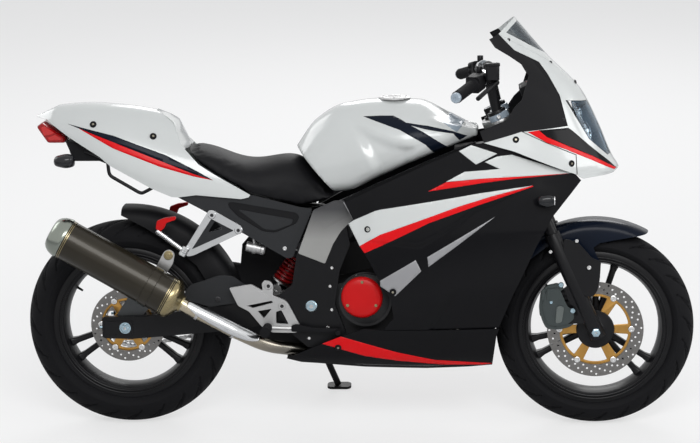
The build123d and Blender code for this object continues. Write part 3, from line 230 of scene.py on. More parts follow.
for names, mat in (
        ("nose_cowl tail_cowl fuel_tank", m_white), ("side_fairings belly_pan", m_black),
        ("rear_tyre front_tyre grips", m_rubber), ("seat", m_leather),
        ("frame subframe side_stand", m_frame),
        ("rear_rim front_rim swingarm fork_sliders lower_yoke handlebars levers mirror_bosses "
         "fork_stanchions tail_loops", m_fork),
        ("switch_housings rear_hugger undertail inner_fairing instruments fairing_stay",
         m_plastic),
        ("side_covers", m_charcoal), ("frame_covers", m_silver),
        ("swingarm_bolts front_axle rear_brake_disc front_brake_disc chain rear_sprocket "
         "rear_shock", m_steel), ("exhaust_pipe", m_pipe),
        ("engine radiator", m_engine), ("clutch_cover", m_red), ("muffler", m_can),
        ("fuel_cap upper_yoke passenger_footrests rider_footrests foot_levers", m_alloy),
        ("front_caliper rear_caliper", m_caliper), ("front_fender", m_navy),
        ("rear_signals front_signals", m_smoke), ("tail_light", m_redlens),
        ("headlights", m_lens), ("windscreen", m_screen)):
    for name in names.split():
        dress(name, mat)

# The cast and welded solids get softened edges.
EDGE_SOFT, EDGE_ANGLE = 0.0011, math.radians(35)
for name in ("swingarm frame engine undertail subframe fairing_stay upper_yoke lower_yoke "
             "handlebars levers switch_housings side_stand swingarm_bolts mirror_bosses "
             "radiator front_caliper rear_caliper fork_sliders").split():
    weld = NODES[name].modifiers.new("weld", "WELD")
    weld.merge_threshold = 1e-5
    soft = NODES[name].modifiers.new("soft", "BEVEL")
    soft.width, soft.segments, soft.harden_normals = EDGE_SOFT, 2, True
    soft.limit_method, soft.angle_limit = "ANGLE", EDGE_ANGLE


# ---------------------------------------------------------------- mesh helpers
def in_scene(name, data):
    """A new object in the scene."""
    o = bpy.data.objects.new(name, data)
    bpy.context.scene.collection.objects.link(o)
    return o


def from_bmesh(name, bm):
    """An object from an edit mesh, which it frees."""
    me = bpy.data.meshes.new(name)
    bm.to_mesh(me)
    bm.free()
    return in_scene(name, me)


def evaluated(o):
    """The mesh that an object's curve or modifiers come to."""
    bpy.context.view_layer.update()
    return bpy.data.meshes.new_from_object(
        o.evaluated_get(bpy.context.evaluated_depsgraph_get()))


def cleaned(name, me, merge, outward=True):
    """An object from a mesh, with close points merged and faces turned outward."""
    bm = bmesh.new()
    bm.from_mesh(me)
    if merge:
        bmesh.ops.remove_doubles(bm, verts=bm.verts, dist=merge)
    if outward:
        bmesh.ops.recalc_face_normals(bm, faces=bm.faces)
    return from_bmesh(name, bm)


def solid(name, verts, faces, merge=None):
    """An object from points and faces."""
    me = bpy.data.meshes.new(name)
    me.from_pydata([tuple(v) for v in verts], [], faces)
    return cleaned(name, me, merge)


def settle(o, mat, body="chassis", stands_for=(), angle=38.0, bevel=0.0, wall=0.0, segments=2):
    """Leans a piece built in upright millimetres, shades it, and lets it ride on its body."""
    o.data.transform(PARK)
    o.data.materials.append(mat)
    for p in o.data.polygons:
        p.use_smooth = True
    o.data.set_sharp_from_angle(angle=math.radians(angle))
    if wall:
        s = o.modifiers.new("wall", "SOLIDIFY")
        s.thickness, s.offset, s.use_even_offset = wall / 1000, -1, False
    if bevel:
        b = o.modifiers.new("edges", "BEVEL")
        b.width, b.segments, b.harden_normals = bevel / 1000, segments, True
        b.limit_method, b.angle_limit = "ANGLE", math.radians(40)
    if stands_for:
        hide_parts(*stands_for)
    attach(o, body)


def group(name, parts, mat, body="chassis", stands_for=(), **more):
    """Several pieces, still upright, settled as one."""
    bm = bmesh.new()
    for o in parts:
        bm.from_mesh(o.data)
        bpy.data.objects.remove(o)
    settle(from_bmesh(name, bm), mat, body, stands_for, **more)


def frame_of(origin, normal, x_hint=(1, 0, 0)):
    """A matrix whose Z is the normal."""
    z = Vector(normal).normalized()
    x = Vector(x_hint)
    x = (x - z * x.dot(z)).normalized()
    turn = Matrix((x, z.cross(x), z)).transposed().to_4x4()
    return Matrix.Translation(Vector(origin)) @ turn


def side_frame(x, y, z):
    """Drawing plane in side view, its Y up and its Z outward to the side that y is on."""
    s = 1 if y > 0 else -1
    return Matrix(((-s, 0, 0, x), (0, 0, s, y), (0, 1, 0, z), (0, 0, 0, 1)))


def ray(degrees, reach=1.0):
    """The way out from a wheel's axle at an angle above the forward line."""
    a = math.radians(degrees)
    return Vector((math.cos(a), 0.0, math.sin(a))) * reach


def polar(r, degrees, cx=0.0, cy=0.0):
    """A point of a drawing, by radius and angle about (cx, cy)."""
    a = math.radians(degrees)
    return (cx + r * math.cos(a), cy + r * math.sin(a))


def ring_pts(r, n=48, cx=0.0, cy=0.0):
    """A full circle's points."""
    return [polar(r, 360 * i / n, cx, cy) for i in range(n)]


def arc_pts(r, n, start, stop):
    """Points from one angle to another, both ends included."""
    return [polar(r, start + (stop - start) * i / n) for i in range(n + 1)]


def rounded(pts, r, n=4):
    """A closed outline with its corners rounded."""
    out = []
    for i in range(len(pts)):
        p0, p1, p2 = Vector(pts[i - 1]), Vector(pts[i]), Vector(pts[(i + 1) % len(pts)])
        a, b = p0 - p1, p2 - p1
        cut = min(r, a.length * 0.45, b.length * 0.45)
        s, e = p1 + a.normalized() * cut, p1 + b.normalized() * cut
        for k in range(n + 1):
            t = k / n
            out.append(tuple(s * (1 - t) ** 2 + p1 * 2 * t * (1 - t) + e * t ** 2))
    return out


def soft_box(w, h, r, n=3):
    """A rounded rectangle about the origin."""
    return rounded([(-w / 2, -h / 2), (w / 2, -h / 2), (w / 2, h / 2), (-w / 2, h / 2)], r, n)


def inset(points, by):
    """An outline moved inward by a distance, corner by corner."""
    area = sum(points[i - 1][0] * points[i][1] - points[i][0] * points[i - 1][1]
               for i in range(len(points)))
    pts = points if area > 0 else points[::-1]
    out = []
    for i in range(len(pts)):
        p0, p1, p2 = Vector(pts[i - 1]), Vector(pts[i]), Vector(pts[(i + 1) % len(pts)])
        a, b = (p1 - p0).normalized(), (p2 - p1).normalized()
        n = Vector((-a.y - b.y, a.x + b.x))
        n = n / max(0.35, n.length) if n.length > 0.1 else Vector((-a.y, a.x))
        k = by / max(0.4, n.dot(Vector((-a.y, a.x))))
        out.append((p1.x + n.x * k, p1.y + n.y * k))
    return out


def curve(name, runs, smooth=False, cyclic=True, radius=1.0, **settings):
    """The mesh of a curve with a bevel; radius may be a list, one per point."""
    cu = bpy.data.curves.new(name, "CURVE")
    for key, value in settings.items():
        setattr(cu, key, value)
    for pts in runs:
        sp = cu.splines.new("NURBS" if smooth else "POLY")
        sp.points.add(len(pts) - 1)
        for i, (p, q) in enumerate(zip(sp.points, pts)):
            p.co = (*q, 1) if len(q) == 3 else (*q, 0, 1)
            p.radius = radius[i] if isinstance(radius, list) else radius
        sp.use_cyclic_u = cyclic
        if smooth:
            sp.order_u = 3
            sp.use_endpoint_u = not cyclic
    o = in_scene(name, cu)
    me = evaluated(o)
    bpy.data.objects.remove(o)
    return me


def plate(outline, thick, at, holes=(), bevel=0.0, name="plate"):
    """A flat plate with holes: outline and holes are point lists in the plane `at`."""
    me = curve(name, [outline, *holes], dimensions="2D", fill_mode="BOTH", extrude=thick / 2,
               bevel_depth=bevel, bevel_resolution=1, offset=-bevel)
    me.transform(at)
    return cleaned(name, me, 0.01, outward=False)


def tube(pts, radius, smooth=True, sides=12, name="tube"):
    """A round bar along points."""
    me = curve(name, [pts], smooth, False, radius, dimensions="3D", bevel_depth=1.0,
               bevel_resolution=max(1, sides // 4), resolution_u=8, use_fill_caps=True)
    return cleaned(name, me, 0.01)


def turned_faces(steps, n, closed=True):
    """The faces between `steps` copies of a line of n points, set round an axis."""
    return [(i * n + k, (i + 1) % steps * n + k, (i + 1) % steps * n + (k + 1) % n,
             i * n + (k + 1) % n) for i in range(steps) for k in range(n if closed else n - 1)]


def revolve(profile, centre, axis=ACROSS, steps=32, closed=True, name="turned"):
    """Turns a profile of (radius, along) about an axis through the centre."""
    at = frame_of(centre, axis)
    verts = [at @ Vector((*polar(r, 360 * i / steps), y)) for i in range(steps)
             for r, y in profile]
    return solid(name, verts, turned_faces(steps, len(profile), closed), 0.001)


def turned(profile, centre, axis, steps=32, name="turned"):
    """The same for a profile that starts and ends on the axis."""
    return revolve(profile, centre, axis, steps, False, name)


def loft(sections, name="loft"):
    """A body through sections of equal point counts, capped at both ends."""
    n, last = len(sections[0]), len(sections) - 1
    faces = [(i * n + k, i * n + (k + 1) % n, (i + 1) * n + (k + 1) % n, (i + 1) * n + k)
             for i in range(last) for k in range(n)]
    faces += [tuple(range(n))[::-1], tuple(last * n + k for k in range(n))]
    return solid(name, [p for s in sections for p in s], faces)


def bolt(at, head, tall, socket=True):
    """A cap screw standing on the plane `at`."""
    prof = [(0, 0), (head, 0), (head, tall * 0.75), (head * 0.85, tall)]
    prof += [(head * 0.5, tall), (head * 0.45, tall * 0.35), (0, tall * 0.35)] if socket \
        else [(0, tall)]
    return turned(prof, at.translation, at.to_3x3() @ Vector(UP), 14)


def side_bolt(x, y, z, head, tall, socket=True):
    """A cap screw that points outward to the side that y is on."""
    return bolt(side_frame(x, y, z), head, tall, socket)


def side_plate(outline, thick, y, holes=(), bevel=0.0):
    """A plate cut to a side-view outline, its middle at y."""
    flip = -1 if y > 0 else 1
    return plate([(flip * x, z) for x, z in outline], thick, side_frame(0, y, 0),
                 [[(flip * x, z) for x, z in hole] for hole in holes], bevel)


def both(name, outline, holes, thick, y, mat, round_=0, stands_for=(), body="chassis",
         soft=0.8):
    """Flat plates cut to a side-view outline, one each side, y their outer face."""
    shape = rounded(outline, round_, 5) if round_ else outline
    group(name, [side_plate(shape, thick, side * (y - thick / 2), holes) for side in (-1, 1)],
          mat, body, stands_for, bevel=soft)


def screws(name, spots, y=0, mat=m_darkbolt, *, head, pair=True):
    """Socket screws in side view on one or both sides; y, or a spot's third value, is the
    face they stand on."""
    group(name, [side_bolt(spot[0], side * (spot[2] if len(spot) > 2 else y), spot[1], head,
                           2.4) for spot in spots for side in ((-1, 1) if pair else (-1,))],
          mat, angle=30)


# ---------------------------------------------------------------- surfaces
def cubic(rows, t):
    """Smooth interpolation of table rows keyed by their first value."""
    if t <= rows[0][0]:
        return list(rows[0])
    if t >= rows[-1][0]:
        return list(rows[-1])
    i = max(k for k in range(len(rows) - 1) if rows[k][0] <= t)
    a, b = rows[i], rows[i + 1]
    h = b[0] - a[0]
    u = (t - a[0]) / h
    out = [t]
    for c in range(1, len(a)):
        slope = (b[c] - a[c]) / h
        m0 = m1 = slope
        if i > 0:
            before = (a[c] - rows[i - 1][c]) / (a[0] - rows[i - 1][0])
            m0 = 0 if before * slope <= 0 else 2 * before * slope / (before + slope)
        if i + 2 < len(rows):
            after = (rows[i + 2][c] - b[c]) / (rows[i + 2][0] - b[0])
            m1 = 0 if after * slope <= 0 else 2 * after * slope / (after + slope)
        out.append((2 * u ** 3 - 3 * u * u + 1) * a[c] + (u ** 3 - 2 * u * u + u) * h * m0
                   + (3 * u * u - 2 * u ** 3) * b[c] + (u ** 3 - u * u) * h * m1)
    return out


def arc3(p, q, r, t):
    """A point on the circle arc p-q-r; t runs 0..1, q is at its own share of the arc."""
    (ax, ay), (bx, by), (cx, cy) = p, q, r
    d = 2 * (ax * (by - cy) + bx * (cy - ay) + cx * (ay - by))
    if abs(d) < 1e-6:
        return (ax + (cx - ax) * t, ay + (cy - ay) * t)
    aa, bb, cc = ax * ax + ay * ay, bx * bx + by * by, cx * cx + cy * cy
    ux = (aa * (by - cy) + bb * (cy - ay) + cc * (ay - by)) / d
    uy = (aa * (cx - bx) + bb * (ax - cx) + cc * (bx - ax)) / d
    rad = math.hypot(ax - ux, ay - uy)
    a0, a1, a2 = (math.atan2(y - uy, x - ux) for x, y in (p, q, r))
    span = (a2 - a0) % (2 * math.pi)
    if (a1 - a0) % (2 * math.pi) > span:
        span -= 2 * math.pi
    a = a0 + span * t
    return (ux + rad * math.cos(a), uy + rad * math.sin(a))


def arc_line(p, q, r, n, first=0, last=None):
    """Points of the arc p-q-r in n steps, from the first to the last."""
    return [arc3(p, q, r, k / n) for k in range(first, (n if last is None else last) + 1)]


def sides_of(poly):
    """An outline's sides, as pairs of points."""
    return zip(poly, [*poly[1:], poly[0]])


def inside(poly, x, z):
    """Whether a point lies within an outline."""
    hit = False
    for (x0, z0), (x1, z1) in sides_of(poly):
        if (z0 > z) != (z1 > z) and x < (x1 - x0) * (z - z0) / (z1 - z0) + x0:
            hit = not hit
    return hit


def edge_distance(poly, x, z):
    """Distance from a point to the nearest side of an outline."""
    best = 1e9
    for (x0, z0), (x1, z1) in sides_of(poly):
        dx, dz = x1 - x0, z1 - z0
        t = max(0.0, min(1.0, ((x - x0) * dx + (z - z0) * dz) / (dx * dx + dz * dz)))
        best = min(best, math.hypot(x - x0 - t * dx, z - z0 - t * dz))
    return best


def smoothstep(t):
    """A soft rise from 0 to 1."""
    t = max(0.0, min(1.0, t))
    return t * t * (3 - 2 * t)


TRIM_MARGIN = 3.0       # how far past an outline's side its cut still runs


def trim(bm, poly, keep_inside=True):
    """Cuts a mesh along a side-view outline and drops what lies outside (or inside)."""
    for (x0, z0), (x1, z1) in sides_of(poly):
        x_lo, x_hi = min(x0, x1) - TRIM_MARGIN, max(x0, x1) + TRIM_MARGIN
        z_lo, z_hi = min(z0, z1) - TRIM_MARGIN, max(z0, z1) + TRIM_MARGIN
        faces = [f for f in bm.faces if not (
            max(v.co.x for v in f.verts) < x_lo or min(v.co.x for v in f.verts) > x_hi
            or max(v.co.z for v in f.verts) < z_lo or min(v.co.z for v in f.verts) > z_hi)]
        if faces:
            geom = list({e for f in faces for e in f.edges}) + list(
                {v for f in faces for v in f.verts}) + faces
            bmesh.ops.bisect_plane(bm, geom=geom, dist=0.02, plane_co=(x0, 0, z0),
                                   plane_no=(-(z1 - z0), 0, x1 - x0))
    centres = [(f, f.calc_center_median()) for f in bm.faces]
    bmesh.ops.delete(bm, geom=[f for f, c in centres if inside(poly, c.x, c.z) != keep_inside],
                     context="FACES")


def grid_bmesh(grid):
    """An edit mesh over rows of points."""
    bm = bmesh.new()
    rows = [[bm.verts.new(p) for p in line] for line in grid]
    for a, b in zip(rows, rows[1:]):
        for k in range(len(a) - 1):
            bm.faces.new((a[k], a[k + 1], b[k + 1], b[k]))
    return bm


def sheet(name, rows, mat, **more):
    """A thin sheet over a grid of points."""
    bm = grid_bmesh(rows)
    bmesh.ops.recalc_face_normals(bm, faces=bm.faces)
    settle(from_bmesh(name, bm), mat, angle=60, **more)


def both_sides(bm):
    """Adds the mirror image of a right-hand surface."""
    geom = bmesh.ops.duplicate(bm, geom=bm.verts[:] + bm.edges[:] + bm.faces[:])["geom"]
    for v in geom:
        if isinstance(v, bmesh.types.BMVert):
            v.co.y = -v.co.y
    bmesh.ops.reverse_faces(bm, faces=[g for g in geom if isinstance(g, bmesh.types.BMFace)])


# Hulls with decks: z, back, back half, mid, mid half, corner, corner half, front.
UPPER = [
    (730, 1030, 196, 1220, 186, 1374, 106, 1437), (756, 1030, 194, 1220, 185, 1380, 105, 1446),
    (770, 1030, 193, 1220, 184.6, 1384, 104.6, 1459),
    (780, 1030, 192.6, 1220, 184.3, 1384, 104.3, 1455),
    (802, 1030, 191, 1218, 183, 1376, 104, 1441), (900, 1030, 178, 1190, 170, 1325, 104, 1399),
    (1000, 1030, 164, 1180, 156, 1275, 96, 1347), (1100, 1030, 144, 1130, 136, 1200, 82, 1250),
    (1218, 1030, 120, 1090, 104, 1120, 62, 1148)]
LOWER = [
    (180, 430, 92, 790, 112, 1120, 84), (230, 430, 134, 780, 152, 1120, 118),
    (310, 430, 154, 800, 184, 1130, 150), (450, 560, 178, 900, 208, 1230, 178),
    (600, 600, 184, 950, 215, 1290, 184), (700, 600, 182, 980, 210, 1370, 146),
    (800, 600, 172, 1000, 195, 1380, 112), (880, 600, 164, 1000, 184, 1380, 104)]
# Hulls with ribs: x, low, low half, mid, mid half, high, high half, top.
TAIL_ROWS = [
    (-270, 880, 26, 900, 34, 915, 24, 930), (-200, 850, 66, 890, 78, 935, 54, 962),
    (-100, 790, 100, 860, 106, 935, 74, 969), (0, 740, 118, 830, 122, 925, 76, 962),
    (130, 695, 128, 780, 130, 880, 84, 940), (250, 680, 131, 740, 133, 830, 100, 900),
    (390, 670, 133, 700, 134, 780, 110, 850)]
TANK_ROWS = [
    (500, 700, 52, 760, 66, 800, 40, 824), (570, 700, 78, 800, 96, 884, 52, 918),
    (650, 703, 100, 820, 120, 925, 74, 963), (760, 750, 126, 850, 150, 938, 92, 977),
    (870, 800, 136, 873, 158, 938, 100, 974), (960, 838, 124, 880, 140, 912, 88, 934),
    (1040, 868, 66, 878, 76, 884, 50, 892)]


def deck_surface(rows, z0, z1, nz, nu, nf=0):
    """The right half of a decked hull, and with nf the nose across to the left half."""
    grid = []
    for i in range(nz + 1):
        z = z0 + (z1 - z0) * i / nz
        d = cubic(rows, z)
        line = arc_line((d[1], -d[2]), (d[3], -d[4]), (d[5], -d[6]), nu)
        if nf:
            line += arc_line((d[5], -d[6]), (d[7], 0.0), (d[5], d[6]), nf, 1, nf - 1)
            line += [(x, -y) for x, y in line[nu::-1]]
        grid.append([(x, y, z) for x, y in line])
    return grid


def deck_half(rows, x, z):
    """Half width of a decked hull at a side-view point."""
    d = cubic(rows, z)
    pts = arc_line((d[1], d[2]), (d[3], d[4]), (d[5], d[6]), 40)
    if len(d) > 7:
        pts += arc_line((d[5], d[6]), (d[7], 0.0), (d[5], -d[6]), 40, 1, 19)
    return min(pts, key=lambda p: abs(p[0] - x))[1]


AVERAGINGS = 6          # passes that round a ribbed hull's hard lines


def rib_surface(rows, x0, x1, nx, bottom):
    """A hull lofted along X through ribs, its hard lines rounded by averaging."""
    grid = []
    for i in range(nx + 1):
        x = x0 + (x1 - x0) * i / nx
        r = cubic(rows, x)
        side = arc_line((r[2], r[1]), (r[4], r[3]), (r[6], r[5]), 20)
        line = side + arc_line((r[6], r[5]), (0.0, r[7]), (-r[6], r[5]), 16, 1, 15)
        line += [(-y, z) for y, z in side[::-1]]
        if bottom:
            line += [(-r[2] + 2 * r[2] * k / 6, r[1]) for k in range(1, 7)]
        grid.append([(x, y, z) for y, z in line])
    for _ in range(AVERAGINGS):
        grid = [[line[0], *(tuple(0.5 * b[c] + 0.25 * (a[c] + d[c]) for c in range(3))
                            for a, b, d in zip(line, line[1:], line[2:])), line[-1]]
                for line in grid]
    return grid


def rib_half(rows, x, z):
    """Half width of a ribbed hull at a side-view point."""
    r = cubic(rows, x)
    pts = arc_line((r[2], r[1]), (r[4], r[3]), (r[6], r[5]), 40)
    pts += arc_line((r[6], r[5]), (0.0, r[7]), (-r[6], r[5]), 60, 1, 29)
    return min(pts, key=lambda p: abs(p[1] - z))[0]


def skin(name, grid, outline, mat, lift=0.0, wall=3.0, cut=(), pair=False, stands_for=(),
         bevel=0.7, body="chassis", shape=None, band=None):
    """A panel: the part of a smooth surface inside a side-view outline, given a wall; `band`
    keeps only what lies that far to either side of the middle."""
    bm = grid_bmesh(grid)
    for poly in outline if isinstance(outline[0], list) else [outline]:
        trim(bm, poly)
    for poly in cut:
        trim(bm, poly, False)
    if band:
        for y in {-band[1], -band[0], band[0], band[1]}:
            bmesh.ops.bisect_plane(bm, geom=bm.verts[:] + bm.edges[:] + bm.faces[:], dist=0.01,
                                   plane_co=(0, y, 0), plane_no=ACROSS)
        bmesh.ops.delete(bm, geom=[f for f in bm.faces if not band[0] <= abs(
            f.calc_center_median().y) <= band[1]], context="FACES")
    bmesh.ops.delete(bm, geom=[v for v in bm.verts if not v.link_faces], context="VERTS")
    bmesh.ops.remove_doubles(bm, verts=bm.verts, dist=0.05)
    bm.normal_update()
    for v in bm.verts:
        v.co += v.normal * lift
    if shape:
        for v in bm.verts:
            v.co = shape(v.co, v.normal)
    if pair:
        both_sides(bm)
    settle(from_bmesh(name, bm), mat, body, stands_for, bevel=bevel, wall=wall)


def decal(name, grid, outline, mat, lift=0.35, **more):
    """A painted stripe, a hair above its panel."""
    skin(name, grid, outline, mat, lift=lift, wall=0.45, bevel=0, **more)


STUD_SUNK = 0.8         # below its hull


def studs(name, half, spots, head=10.0):
    """Rubber grommets with a bright screw in each, square to a hull on both sides."""
    profile = [(0, 2.2), (head * 0.5, 2.2), (head * 0.6, 3.6), (head * 0.85, 3.6), (head, 2.4),
               (head, -2), (0, -2)]
    rings, cores = [], []
    for x, z in spots:
        slope = Vector((half(x - 6, z) - half(x + 6, z), 0,
                        half(x, z - 6) - half(x, z + 6))) / 12
        for side in (-1, 1):
            n = (slope + ACROSS * side).normalized()
            at = Vector((x, side * half(x, z), z)) - n * STUD_SUNK
            rings.append(turned(profile, at, n, 28))
            cores.append(bolt(frame_of(at + n * 2.0, n), head * 0.34, 1.4))
    group(name, rings, m_rubber, angle=40)
    group(name + "_cores", cores, m_stud, angle=30)


# ---------------------------------------------------------------- wheels
RIM_LIP, TREAD_DEEP = 6, 5.0
# Tread grooves: first and last lean from the crown, shift and slope round it, half width.
GROOVES = ((7, 56, 0.0, 0.9, 2.4), (30, 68, 0.5, 0.6, 2.0), (12, 30, 0.62, 0.5, 1.6))


TREAD_BLOCKS = 24       # repeats of the grooves round a tyre


def tyre(end, axle, radius, middle, ring, bead):
    """A tyre of round section whose tread is cut by slanted grooves; its section is a circle
    of radius `ring` about a point `middle` from the axle."""
    steps, leans = 540, 46
    pitch = 2 * math.pi * radius / TREAD_BLOCKS

    def depth(turn, lean):
        """How deep the tread is cut at a turn round the wheel and a lean from its crown."""
        side, a = (0.5 if lean > 0 else 0.0), abs(lean)
        best = 0.0
        for first, last, shift, slope, wide in GROOVES:
            if first < a < last:
                u = (turn * TREAD_BLOCKS / 360 + side + shift - slope * a / 40) % 1.0
                gap = abs(u - 0.5) * pitch
                ends = min(a - first, last - a) * 0.5
                best = max(best, TREAD_DEEP * smoothstep((wide + 1.0 - gap) / 1.2)
                           * min(1, ends))
        return best + (0.9 if 76 < a < 80 else 0)

    inner = [(231, -bead - 6), (226, -bead - 1.5), (216.4, 1 - bead), (216.4, bead - 1),
             (226, bead + 1.5), (231, bead + 6)]
    verts = []
    for i in range(steps):
        turn = 360 * i / steps
        line = []
        for k in range(leans + 1):
            lean = -84 + 168 * k / leans
            x, y = polar(ring - depth(turn, lean), lean, middle)
            line.append((x, -y))
        verts += [axle + ray(turn, r) + ACROSS * y for r, y in line + inner]
    settle(solid(end + "_tyre_tread", verts, turned_faces(steps, leans + 1 + len(inner))),
           m_rubber, end + "_wheel", (end + "_tyre",), angle=50)


def spoke(axle, at, rows, corner, n):
    """A bar out from the hub; rows are (reach, width, depth)."""
    out, round_ = ray(at), ray(at + 90)
    return loft([[axle + out * reach + round_ * u + ACROSS * v
                  for u, v in soft_box(wide, deep, corner, n)] for reach, wide, deep in rows])


def wheel(end, axle, bead, hub_half, hub_r, spoke_at, disc_r, disc_in, hole_rows, hole_groups):
    """Rim, hub, spokes, valve, brake disc and its carrier and bolts."""
    body, lip, throat = end + "_wheel", bead + RIM_LIP, hub_r * 0.72
    barrel = [(216, bead), (228, bead + 0.5), (229, bead + 4), (226, lip), (203, lip),
              (198, lip - 1.5), (193, bead - 10), (189, 13), (189, -13), (193, 10 - bead),
              (198, 1.5 - lip), (203, -lip), (226, -lip), (229, -bead - 4),
              (228, -bead - 0.5), (216, -bead), (216, 14 - bead), (203, 26 - bead),
              (203, bead - 26), (216, bead - 14)]
    hub = [(9, hub_half), (hub_r * 0.62, hub_half), (throat, hub_half - 3),
           (hub_r, hub_half - 4), (hub_r, hub_half - 12), (hub_r * 0.9, 22)]
    hub += [(r, -y) for r, y in hub[::-1]]
    parts = [revolve(barrel, axle, steps=120), revolve(hub, axle, steps=64)]
    for base in (0, 120, 240):
        for tilt in (-8, 8):
            parts.append(spoke(axle, spoke_at + base + tilt,
                               ((14, 26, 40), (hub_r + 6, 23, 36), (70, 20, 32),
                                (130, 17, 29), (172, 18, 31), (188, 24, 36), (196, 32, 42)),
                               7, 4))
        parts.append(spoke(axle, spoke_at + base, ((hub_r - 8, 20, 24), (hub_r + 16, 22, 24),
                                                   (hub_r + 30, 16, 24)), 6, 3))
    group(end + "_wheel_rim", parts, m_wheel, body, (end + "_rim",), angle=35, bevel=1.2)
    valve, tip = (axle + ray(spoke_at + 60, r) for r in (203, 172))
    settle(tube([valve, tip, tip + (tip - valve) * 0.06], [4.5, 3.2, 2.6], False,
                name=end + "_valve"), m_rubber, body)

    face = hub_half + 5
    holes = [ring_pts(disc_in, 96)] + [
        ring_pts(3.1, 10, *polar(disc_in + (disc_r - disc_in) * (row + 0.9)
                                 / (hole_rows + 0.8), 360 / hole_groups * (k + 0.36 * row)))
        for k in range(hole_groups) for row in range(hole_rows)]
    settle(plate(ring_pts(disc_r, 160), 4.0, side_frame(axle.x, -face - 2, axle.z), holes,
                 name=end + "_rotor"), m_disc, body, (end + "_brake_disc",), angle=30,
           bevel=0.5, segments=1)
    windows = [ring_pts(hub_r - 8, 48)] + [
        rounded(arc_pts(disc_in - 8, 10, a + 9, a + 51) + arc_pts(hub_r + 9, 8, a + 45, a + 15),
                5, 2) for a in range(0, 360, 60)]
    settle(plate(ring_pts(disc_in + 4, 96), 5.0, side_frame(axle.x, -hub_half - 2.6, axle.z),
                 windows, 0.6, end + "_carrier"), m_gold, body, angle=30)
    bolts = []
    for a in range(0, 360, 60):
        bob, stud = axle + ray(a, disc_in), axle + ray(a + math.degrees(0.5), hub_r)
        bolts += [side_bolt(bob.x, -face - 3.2, bob.z, 9, 2.6),
                  side_bolt(stud.x, -hub_half - 5, stud.z, 6, 5)]
    group(end + "_disc_bolts", bolts, m_bolt, body, angle=30)


tyre("rear", REAR_AXLE, 307, 241.4, 65.6, 44)
tyre("front", FRONT_AXLE, 293, 237.75, 55.25, 38)
wheel("rear", REAR_AXLE, 44, 58, 40, 88, 111, 80, 3, 16)
wheel("front", FRONT_AXLE, 38, 57, 34, 80, 142, 106, 4, 20)

# ---------------------------------------------------------------- sprocket and chain
CHAIN_Y, TEETH, LINKS = 80, 42, 108
BIG, SMALL = 97.5, 35.8                 # the chain's line round the two sprockets
DRIVE = Vector((640, 0, 372))
TIP_R, ROOT_R = 91.5, 86.5
teeth = [polar((TIP_R, TIP_R, ROOT_R, ROOT_R)[k % 4], 90 * (k + 0.5) / TEETH)
         for k in range(TEETH * 4)]
holes = [ring_pts(44, 48)] + [ring_pts(13, 20, *polar(71, 36 + 72 * k)) for k in range(5)]
drum = revolve([(9, 78), (50, 78), (52, 76), (52, 60), (46, 58.5), (9, 58.5)], REAR_AXLE,
               steps=64)
group("sprocket", [plate(teeth, 6, frame_of(REAR_AXLE + ACROSS * CHAIN_Y, -ACROSS), holes),
                   drum], m_steel, "rear_wheel", ("rear_sprocket",), angle=30, bevel=0.6,
      segments=1)
nuts = [REAR_AXLE + ray(72 * k, 58) for k in range(5)]
group("sprocket_nuts", [side_bolt(p.x, CHAIN_Y + 3, p.z, 7, 6) for p in nuts], m_bolt,
      "rear_wheel", angle=30)

reach = DRIVE - REAR_AXLE
base, spread = math.atan2(reach.z, reach.x), math.acos((BIG - SMALL) / reach.length)
run = math.sqrt(reach.length ** 2 - (BIG - SMALL) ** 2)
arc_small, arc_big = SMALL * 2 * spread, BIG * (2 * math.pi - 2 * spread)
length = 2 * run + arc_small + arc_big
top, low = (math.degrees(base + spread), math.degrees(base - spread))


def chain_point(s):
    """A point on the chain's line, s millimetres on from where it leaves the big sprocket."""
    s %= length
    if s < run:
        return (REAR_AXLE + ray(top, BIG)).lerp(DRIVE + ray(top, SMALL), s / run)
    s -= run
    if s < arc_small:
        return DRIVE + ray(top - math.degrees(s / SMALL), SMALL)
    s -= arc_small
    if s < run:
        return (DRIVE + ray(low, SMALL)).lerp(REAR_AXLE + ray(low, BIG), s / run)
    return REAR_AXLE + ray(low - math.degrees((s - run) / BIG), BIG)


def prism(bm, outline, offsets):
    """A short bar across the chain's line from an outline in side view."""
    rows = [[bm.verts.new(v + ACROSS * off) for v in outline] for off in offsets]
    for i in range(len(outline)):
        j = (i + 1) % len(outline)
        bm.faces.new((rows[0][i], rows[0][j], rows[1][j], rows[1][i]))
    bm.faces.new(rows[0])
    bm.faces.new(rows[1][::-1])


bm = bmesh.new()
for k in range(LINKS):
    p, q = chain_point(length * k / LINKS), chain_point(length * (k + 1) / LINKS)
    d = (q - p).normalized()
    up = Vector((-d.z, 0, d.x))
    h = (q - p).length / 2
    edge = [(-h - 5, 0), (-h - 3, 4.6), (-h + 1.5, 5.2), (0, 3.4), (h - 1.5, 5.2),
            (h + 3, 4.6), (h + 5, 0)]
    edge += [(x, -y) for x, y in edge[-2:0:-1]]
    outer = k % 2 * 2
    for side in (-1, 1):
        prism(bm, [(p + q) / 2 + d * x + up * y for x, y in edge],
              [CHAIN_Y + side * (off + outer) for off in (3.6, 5.2)])
    prism(bm, [p + d * x + up * y for x, y in ring_pts(4, 8)], (CHAIN_Y - 7.9, CHAIN_Y + 7.9))
bmesh.ops.recalc_face_normals(bm, faces=bm.faces)
settle(from_bmesh("chain_links", bm), m_steel, stands_for=("chain",), angle=30)

